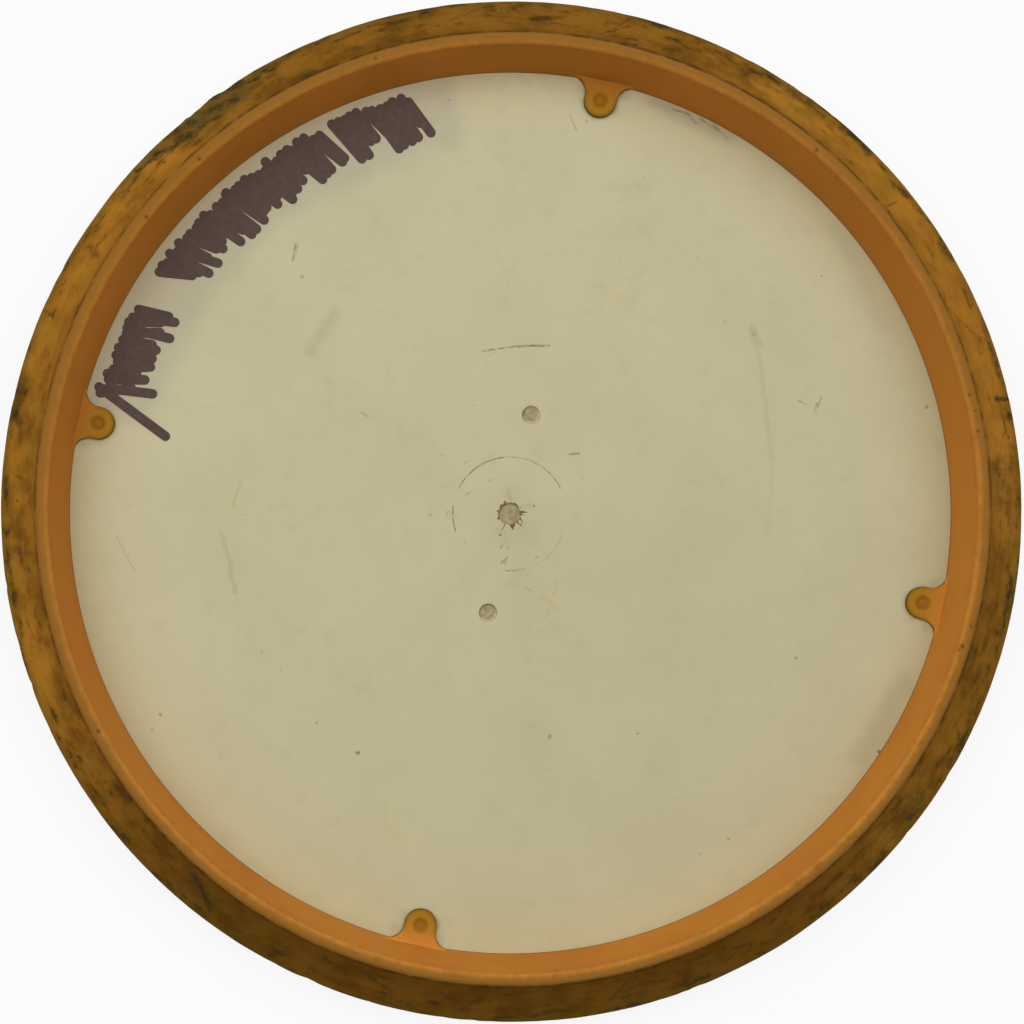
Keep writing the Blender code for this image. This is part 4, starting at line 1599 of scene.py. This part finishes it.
def paint_wing(paint):
    """Rubbed ochre under brown smudges, with painted light and shade by bearing, olive at the nose, with
    black dirt. Gives back its fine grain.
    """
    hue = paint.hue
    across = paint.math("SUBTRACT", paint.radius, paint.level)
    streak = paint.grain(paint.swept(across, *STREAK_SIZE), *STREAK_NOISE)
    blotch = paint.grain(paint.solid_place, *BLOTCH_NOISE)
    fine = paint.grain(paint.solid_place, *FINE_NOISE)
    tone = paint.weighted(*zip((blotch, streak, fine), TONE_SHARES))
    paint.colour = paint.mix(paint.ramp(tone, *UMBER_TONES), hue.ochre, hue.umber)
    # Wear and painted light: lighter ochre on stretches of the wing towards the lamps
    paint.coat(paint.sectors(WING_LIGHTER_STRETCHES), hue.ochre)
    paint.coat(paint.patches(paint.solid_place, *STRAW_PATCHES), hue.straw)
    paint.coat(paint.ramp(paint.radius, *UMBER_RADII), hue.umber)
    # Dirt and painted shade: dark soil on some stretches of the wing, the shade on its side turned from the
    # lamps
    paint.coat(paint.sectors(WING_DARKER_STRETCHES), hue.loam_and_shade)
    paint.coat(paint.ramp(paint.frayed(paint.radius, streak, OLIVE_FRAY), *OLIVE_RADII), hue.olive)
    edge_dirt = paint.math("ADD", streak, paint.ramp(paint.radius, *EDGE_DIRT_RADII))
    edge_dirt = paint.weighted(*zip((edge_dirt, fine), EDGE_DIRT_SHARES))
    paint.coat(paint.ramp(edge_dirt, *EDGE_DIRT_TONES), hue.soot)

    ragged = paint.place
    for warp in RAGGED_WARPS:
        ragged = paint.warped(ragged, *warp)
    above_nose = paint.past(paint.level, Disc().nose_level, NOSE_LEVELS)
    crumbly = paint.times(paint.ramp(fine, *CRUMBLE), above_nose)
    paint.coat(paint.times(drawn(paint, ragged, WING_STAINS, WING_STAIN_SOFT), crumbly), hue.soot)
    smeared = paint.times(paint.ramp(streak, *SMEARING), above_nose)
    paint.coat(paint.times(drawn(paint, ragged, SCRAPE_SMEARS, SCRAPE_SMEAR_SOFT), smeared), hue.ash)
    paint.coat(paint.times(drawn(paint, ragged, SCRAPE_BLOTS, SCRAPE_BLOT_SOFT), crumbly), hue.soot)
    shaken = paint.warped(paint.place, *SCRATCH_WARP)
    paint.coat(paint.times(drawn(paint, shaken, WING_SCRATCHES, WING_SCRATCH_SOFT), crumbly), hue.soot)

    hair = paint.grain(paint.swept(across, *HAIR_SIZE), *HAIR_NOISE)
    paint.coat(paint.ramp(hair, *HAIRLINES), hue.soot)
    pepper = paint.specks(paint.warped(paint.solid_place, *PEPPER_WARP), *PEPPER)
    paint.coat(paint.times(pepper, PEPPER_SHARE), hue.soot)
    return fine


# Dirt and painted shade in the crease: offsets of its edges from the corner and fade in millimetres, levels
# over the seat where it starts, the noise that breaks it up, and limits and strengths of the brown dirt and
# shade
CREASE_BROWN = (0.45, 0.70, 0.40)
CREASE_BLACK = (0.12, 0.28, 0.20)
CREASE_LEVELS = (2.0, 4.0)
CREASE_BREAKS = ((4.0, 4.0, 0.6), (0.36, 0.60))
BROWN_STEP = (0.0, 1.0, 0.12, 0.52)


def crease_dirt_and_shade(paint, disc):
    """Brown dirt and painted shade all along the corner between bead and wing, black in some stretches."""
    corner = disc.crease[0]
    above = paint.past(paint.level, disc.seat, CREASE_LEVELS)
    broken = paint.patches(paint.place, *CREASE_BREAKS)
    # Dirt and painted shade: a brown band and black stretches in the corner between bead and wing
    wide = paint.times(paint.band_at(paint.radius, corner, *CREASE_BROWN), above)
    paint.coat(paint.times(wide, paint.ramp(broken, *BROWN_STEP)), paint.hue.loam_and_shade)
    thin = paint.times(paint.band_at(paint.radius, corner, *CREASE_BLACK), above)
    stretches = paint.sectors(CREASE_BLACK_STRETCHES)
    paint.coat(paint.times(thin, paint.times(stretches, broken)), paint.hue.soot)


# Gate tabs: offsets in millimetres from the foot of the wall where a tab starts and where it grows pale
TAB_SPAN = (-0.1, -0.6)
PALE_SPAN = (0.0, -6.0)
PALE_SHARES = (0.20, 0.95)
# Marks on a tab: shares of the width of what they mark, softness in millimetres, strength, offsets from the
# tab's centre where the dirt round its tip starts, and the step of the dirt on its sides
DIMPLE_SHARE = 0.84
DIMPLE_MARK = (0.45, 0.52)
NUB_MARK = (0.25, 0.45)
TIP_SHARE = 1.70
TIP_SOFT = 0.45
TIP_SPAN = (2.5, 0.0)
TIP_SHARES = (0.0, 0.45)
TAB_SIDES = (0.90, 0.35, 0.0, 0.75)


def colour_tabs(paint, disc):
    """Paler tabs with dirt in their dimples and down their sides."""
    hue = paint.hue
    tab = paint.past(paint.radius, disc.foot, TAB_SPAN)
    pale = paint.past(paint.radius, disc.foot, PALE_SPAN, *PALE_SHARES)
    paint.coat(paint.times(tab, pale), hue.tab_ochre)
    centres = [seen_polar(bearing, disc.tab_centre / MM) for bearing in tab_bearings(disc)]
    dimple = disc.size.dimple_diameter / MM * DIMPLE_SHARE
    paint.coat(paint.spots(paint.place, centres, dimple, *DIMPLE_MARK), hue.umber)
    paint.coat(paint.spots(paint.place, centres, disc.size.nub_diameter / MM, *NUB_MARK), hue.ochre)
    inner = paint.spots(paint.place, centres, disc.tab_round * TIP_SHARE / MM, TIP_SOFT)
    tip = paint.past(paint.radius, disc.tab_centre, TIP_SPAN, *TIP_SHARES)
    paint.coat(paint.times(tip, paint.math("SUBTRACT", 1.0, inner)), hue.olive)
    paint.coat(paint.times(paint.ramp(paint.upright(), *TAB_SIDES), tab), hue.olive)


# The wall: patches as grain, limits and strengths, and specks as cell, radius and share
WALL_CLOUDS = ((24.0, 3.0), (0.42, 0.68), (0.0, 0.45))
WALL_SPECKS = (7.0, 0.40, 0.10)
WALL_SPECK_SHARE = 0.6

# The bead: its noise, fray of its edge and offsets from the mouth in millimetres, and its umber patches
BEAD_NOISE = (2.0, 4.0, 0.65)
BEAD_FRAY = 1.6
BEAD_SPAN = (0.4, 2.3)
BEAD_UMBER = (0.50, 0.72, 0.0, 0.14)

# The wing: fray of its edge, its offsets from the crease and, on the underside, from the seat, in millimetres
WING_FRAY = 0.8
WING_SPAN = (0.40, 1.00)
SHOULDER_SPAN = (-0.5, -1.5)

# Dirt in the bead's nicks: warp, softness and strength, and offsets from the bead's foot where it starts
NICK_WARP = (0.8, 0.25)
NICK_MARK = (0.35, 0.75)
NICK_LEVELS = (-1.0, 0.0)

WALL_ROUGHNESS = ((3.0, 3.0), (0.30, 0.70), (0.46, 0.60))
WING_ROUGHNESS = (0.35, 0.65, 0.58, 0.78)
RIM_PITS = (0.7, 3.0, 0.6)
RIM_PIT_STEP = (0.0, 1.0, 0.15, 1.0)
RIM_BUMP = (0.00010, 0.6)
RIM_SPECULAR = 0.012


def rim_finish():
    """Amber plastic: a smooth wall with painted light and shade, a rubbed tan bead, and a wing that has seen
    most of the ground.
    """
    disc = Disc()
    paint = Finish("amber_rim_plastic")
    hue = paint.hue
    paint.locate()

    # Painted light and shade: lit amber where the wall faces the lamps, shaded amber where it is turned from
    # them
    dark = paint.ramp(paint.facing(WALL_SHADE_BEARING), -1.0, 1.0)
    paint.colour = paint.mix(dark, hue.amber_lit_side, hue.amber_shaded_side)
    paint.coat(paint.patches(paint.solid_place, *WALL_CLOUDS), hue.amber_red)
    paint.coat(paint.times(paint.specks(paint.solid_place, *WALL_SPECKS), WALL_SPECK_SHARE), hue.soot)

    rag = paint.grain(paint.solid_place, *BEAD_NOISE)
    bead = paint.past(paint.frayed(paint.radius, rag, BEAD_FRAY), disc.mouth, BEAD_SPAN)
    paint.coat(bead, paint.mix(paint.ramp(rag, *BEAD_UMBER), hue.bead_tan, hue.umber))

    cup = paint.colour
    fine = paint_wing(paint)
    on_wing = paint.past(paint.frayed(paint.radius, rag, WING_FRAY), disc.crease[0], WING_SPAN)
    on_wing = paint.math("MAXIMUM", on_wing, paint.past(paint.level, disc.seat, SHOULDER_SPAN))
    paint.colour = paint.mix(on_wing, cup, paint.colour)
    crease_dirt_and_shade(paint, disc)

    shaken = paint.warped(paint.place, *NICK_WARP)
    nicks = paint.most(
        paint.spot(shaken, seen_polar(bearing, reach), wide, *NICK_MARK)
        for bearing, reach, wide, deep in BEAD_NICKS
    )
    above = paint.past(paint.level, disc.crease[1], NICK_LEVELS)
    paint.coat(paint.times(nicks, above), hue.soot)
    colour_tabs(paint, disc)

    smooth = paint.patches(paint.solid_place, *WALL_ROUGHNESS)
    rough = paint.ramp(fine, *WING_ROUGHNESS)
    roughness = paint.mix(on_wing, smooth, rough, "FLOAT")
    pits = paint.grain(paint.solid_place, *RIM_PITS)
    paint.bump(paint.times(pits, paint.ramp(on_wing, *RIM_PIT_STEP)), *RIM_BUMP)
    return paint.finish(roughness, RIM_SPECULAR)


# Ink and torn flash: noise as grain, detail and roughness, steps as limits and strengths
INK_STREAKS = (1.4, 3.0, 0.6)
INK_THIN = (0.35, 0.75, 0.0, 0.07)
INK_DARK = ((4.0, 2.0), (0.55, 0.75), (0.0, 0.30))
INK_ROUGHNESS = (0.30, 0.70, 0.38, 0.55)
INK_GRAIN = (0.4, 2.0)
INK_BUMP = (0.00002, 0.4)
FLASH_DIRT = ((0.8, 3.0), (0.30, 0.60), (0.45, 1.0))
FLASH_ROUGHNESS = ((0.5, 2.0), (0.30, 0.70), (0.45, 0.65))
FLASH_GRAIN = (0.25, 2.0)
FLASH_BUMP = (0.00003, 0.5)
DRY_SPECULAR = 0.15


def ink_finish():
    """Dried marker ink, streaked and rubbed thin in places."""
    paint = Finish("dried_marker_ink")
    place = paint.seen_place()
    streak = paint.grain(place, *INK_STREAKS)
    paint.colour = paint.mix(paint.ramp(streak, *INK_THIN), paint.hue.ink, paint.hue.ink_haze)
    paint.coat(paint.patches(place, *INK_DARK), paint.hue.soot)
    roughness = paint.ramp(streak, *INK_ROUGHNESS)
    paint.bump(paint.grain(place, *INK_GRAIN), *INK_BUMP)
    return paint.finish(roughness, DRY_SPECULAR)


def flash_finish():
    """Torn edge of the cream plastic, browned by dirt."""
    paint = Finish("torn_cream_plastic")
    place = paint.seen_place()
    paint.colour = paint.mix(paint.patches(place, *FLASH_DIRT), paint.hue.torn, paint.hue.scorch_and_shade)
    roughness = paint.patches(place, *FLASH_ROUGHNESS)
    paint.bump(paint.grain(place, *FLASH_GRAIN), *FLASH_BUMP)
    return paint.finish(roughness, DRY_SPECULAR)


# Stage

CAMERA_PLACE = (-0.0117, -0.0285, 0.4000)
CAMERA_LENS = 64.9
CAMERA_SENSOR = 36.0
CAMERA_SHIFT = (0.0816, 0.1168)

# Soft lamps: name, bearing and watts
SOFT_LAMPS = (("left_softbox", 207.0, 5.9), ("right_softbox", 336.0, 4.8))
LAMP_ELEVATION = 62.0
LAMP_DISTANCE = 1.2
LAMP_SIZE = 1.0
FILL_STRENGTH = 0.35

FLOOR_SIZE = 6.0
FLOOR_DROP = 0.00005
# The floor's share of white where the disc lies, and the distances between which it turns white
FLOOR_GLOW_SHARE = 0.85
FLOOR_FADE = (0.30, 1.10)


def floor_material():
    """Near-white floor that keeps a faint shadow, and fades into the white background further out."""
    material = bpy.data.materials.new("studio_floor")
    nodes = Nodes(material)
    nodes.tree.nodes.clear()
    matt = nodes.fill(nodes.node("BsdfDiffuse"), Color=colours().floor)
    glow = nodes.fill(nodes.node("Emission"), Color=WHITE)
    reach = nodes.vector("LENGTH", nodes.node("TexCoord").outputs["Object"])
    near, far = FLOOR_FADE
    fade = nodes.node("MapRange")
    nodes.fill(fade, Value=reach, From_Min=near, From_Max=far, To_Min=FLOOR_GLOW_SHARE)
    share = nodes.times(nodes.background_rays(), fade.outputs["Result"])
    nodes.show("OutputMaterial", share, matt.outputs["BSDF"], glow.outputs["Emission"])
    return material


def add_floor():
    shape = bmesh.new()
    bmesh.ops.create_grid(shape, x_segments=1, y_segments=1, size=FLOOR_SIZE / 2)
    floor = add_object("studio_floor", shape)
    floor.location.z = -FLOOR_DROP
    floor.data.materials.append(floor_material())


def add_soft_lamp(name, bearing, watts):
    """A round softbox that looks at the disc's centre."""
    data = bpy.data.lights.new(name, "AREA")
    data.shape = "DISK"
    data.size = LAMP_SIZE
    data.energy = watts
    lamp = link_object(name, data)
    rise = radians(LAMP_ELEVATION)
    turn = world_angle(bearing)
    toward = Vector((cos(rise) * cos(turn), cos(rise) * sin(turn), sin(rise)))
    lamp.location = toward * LAMP_DISTANCE
    lamp.rotation_mode = "QUATERNION"
    lamp.rotation_quaternion = toward.to_track_quat("Z", "Y")


def add_world():
    """Even fill light, seen as white where the background shows."""
    world = bpy.data.worlds.new("studio")
    nodes = Nodes(world)
    nodes.tree.nodes.clear()
    fill = nodes.fill(nodes.node("Background"), Color=WHITE, Strength=FILL_STRENGTH).outputs["Background"]
    white = nodes.fill(nodes.node("Background"), Color=WHITE).outputs["Background"]
    nodes.show("OutputWorld", nodes.background_rays(), fill, white)
    bpy.context.scene.world = world


def add_camera():
    data = bpy.data.cameras.new("photo_camera")
    data.sensor_width = CAMERA_SENSOR
    data.lens = CAMERA_LENS
    data.shift_x, data.shift_y = CAMERA_SHIFT
    camera = link_object("photo_camera", data)
    camera.location = CAMERA_PLACE
    camera.rotation_euler = (0.0, 0.0, radians(CAMERA_TURN))
    bpy.context.scene.camera = camera


class DISC_OT_flight_plate(bpy.types.Operator):
    """Make the cream flight plate with its gate scar, pin marks and witness ring"""

    bl_idname = "disc.flight_plate"
    bl_label = "Flight Plate"

    def execute(self, context):
        disc = Disc()
        shape = turned(plate_profile(disc), PLATE_TURN_STEPS, closed=False)
        plate = add_object("cream_flight_plate", shape)
        combine(plate, plate_cutters(disc), "DIFFERENCE")
        map_plate(plate.data, disc)
        dress(plate, plate_finish(), "flight_plate")
        return {"FINISHED"}


class DISC_OT_gate_flash(bpy.types.Operator):
    """Make the torn slivers round the plate's gate scar"""

    bl_idname = "disc.gate_flash"
    bl_label = "Gate Flash"

    def execute(self, context):
        flash = add_object("gate_flash", flash_shape(Disc()))
        dress(flash, flash_finish())
        return {"FINISHED"}


class DISC_OT_overmould_rim(bpy.types.Operator):
    """Make the worn amber rim with its bead and gate tabs"""

    bl_idname = "disc.overmould_rim"
    bl_label = "Overmoulded Rim"

    def execute(self, context):
        disc = Disc()
        outside, groove, inside = rim_profile(disc)
        shape = turned(outside + groove + inside, RIM_TURN_STEPS, closed=True)
        wear_rim(shape, disc)
        rim = add_object("amber_overmould_rim", shape)
        combine(rim, [add_tabs(disc)], "UNION")
        map_rim(rim.data, disc)
        dress(rim, rim_finish(), "overmould_rim")
        return {"FINISHED"}


class DISC_OT_marker_hatch(bpy.types.Operator):
    """Make the plain hatch of marker strokes on the plate"""

    bl_idname = "disc.marker_hatch"
    bl_label = "Marker Hatch"

    def execute(self, context):
        hatch = add_object("marker_hatch", hatch_shape(Disc()))
        dress(hatch, ink_finish())
        return {"FINISHED"}


class DISC_OT_stage(bpy.types.Operator):
    """Make the floor, the light and the camera"""

    bl_idname = "disc.stage"
    bl_label = "Stage"

    def execute(self, context):
        add_floor()
        for lamp in SOFT_LAMPS:
            add_soft_lamp(*lamp)
        add_world()
        add_camera()
        context.scene.view_settings.view_transform = "Standard"
        return {"FINISHED"}


OPERATORS = (
    DISC_OT_flight_plate,
    DISC_OT_gate_flash,
    DISC_OT_overmould_rim,
    DISC_OT_marker_hatch,
    DISC_OT_stage,
)


class DISC_PT_pieces(bpy.types.Panel):
    """Lists what makes the disc and its stage"""

    bl_idname = "DISC_PT_pieces"
    bl_label = "Flying Disc"
    bl_space_type = "VIEW_3D"
    bl_region_type = "UI"
    bl_category = "Flying Disc"

    def draw(self, context):
        for maker in OPERATORS:
            self.layout.operator(maker.bl_idname)
        for group in (context.scene.disc_sizes, context.scene.disc_colours):
            box = self.layout.box()
            for key in group.__annotations__:
                box.prop(group, key)


CLASSES = (DiscSizes, DiscColours, *OPERATORS, DISC_PT_pieces)


def register():
    for each in CLASSES:
        bpy.utils.register_class(each)
    bpy.types.Scene.disc_sizes = PointerProperty(type=DiscSizes)
    bpy.types.Scene.disc_colours = PointerProperty(type=DiscColours)


def unregister():
    del bpy.types.Scene.disc_colours
    del bpy.types.Scene.disc_sizes
    for each in reversed(CLASSES):
        bpy.utils.unregister_class(each)


def main():
    register()
    bpy.ops.disc.stage()
    bpy.ops.disc.flight_plate()
    bpy.ops.disc.gate_flash()
    bpy.ops.disc.overmould_rim()
    bpy.ops.disc.marker_hatch()


if __name__ == "__main__":
    main()
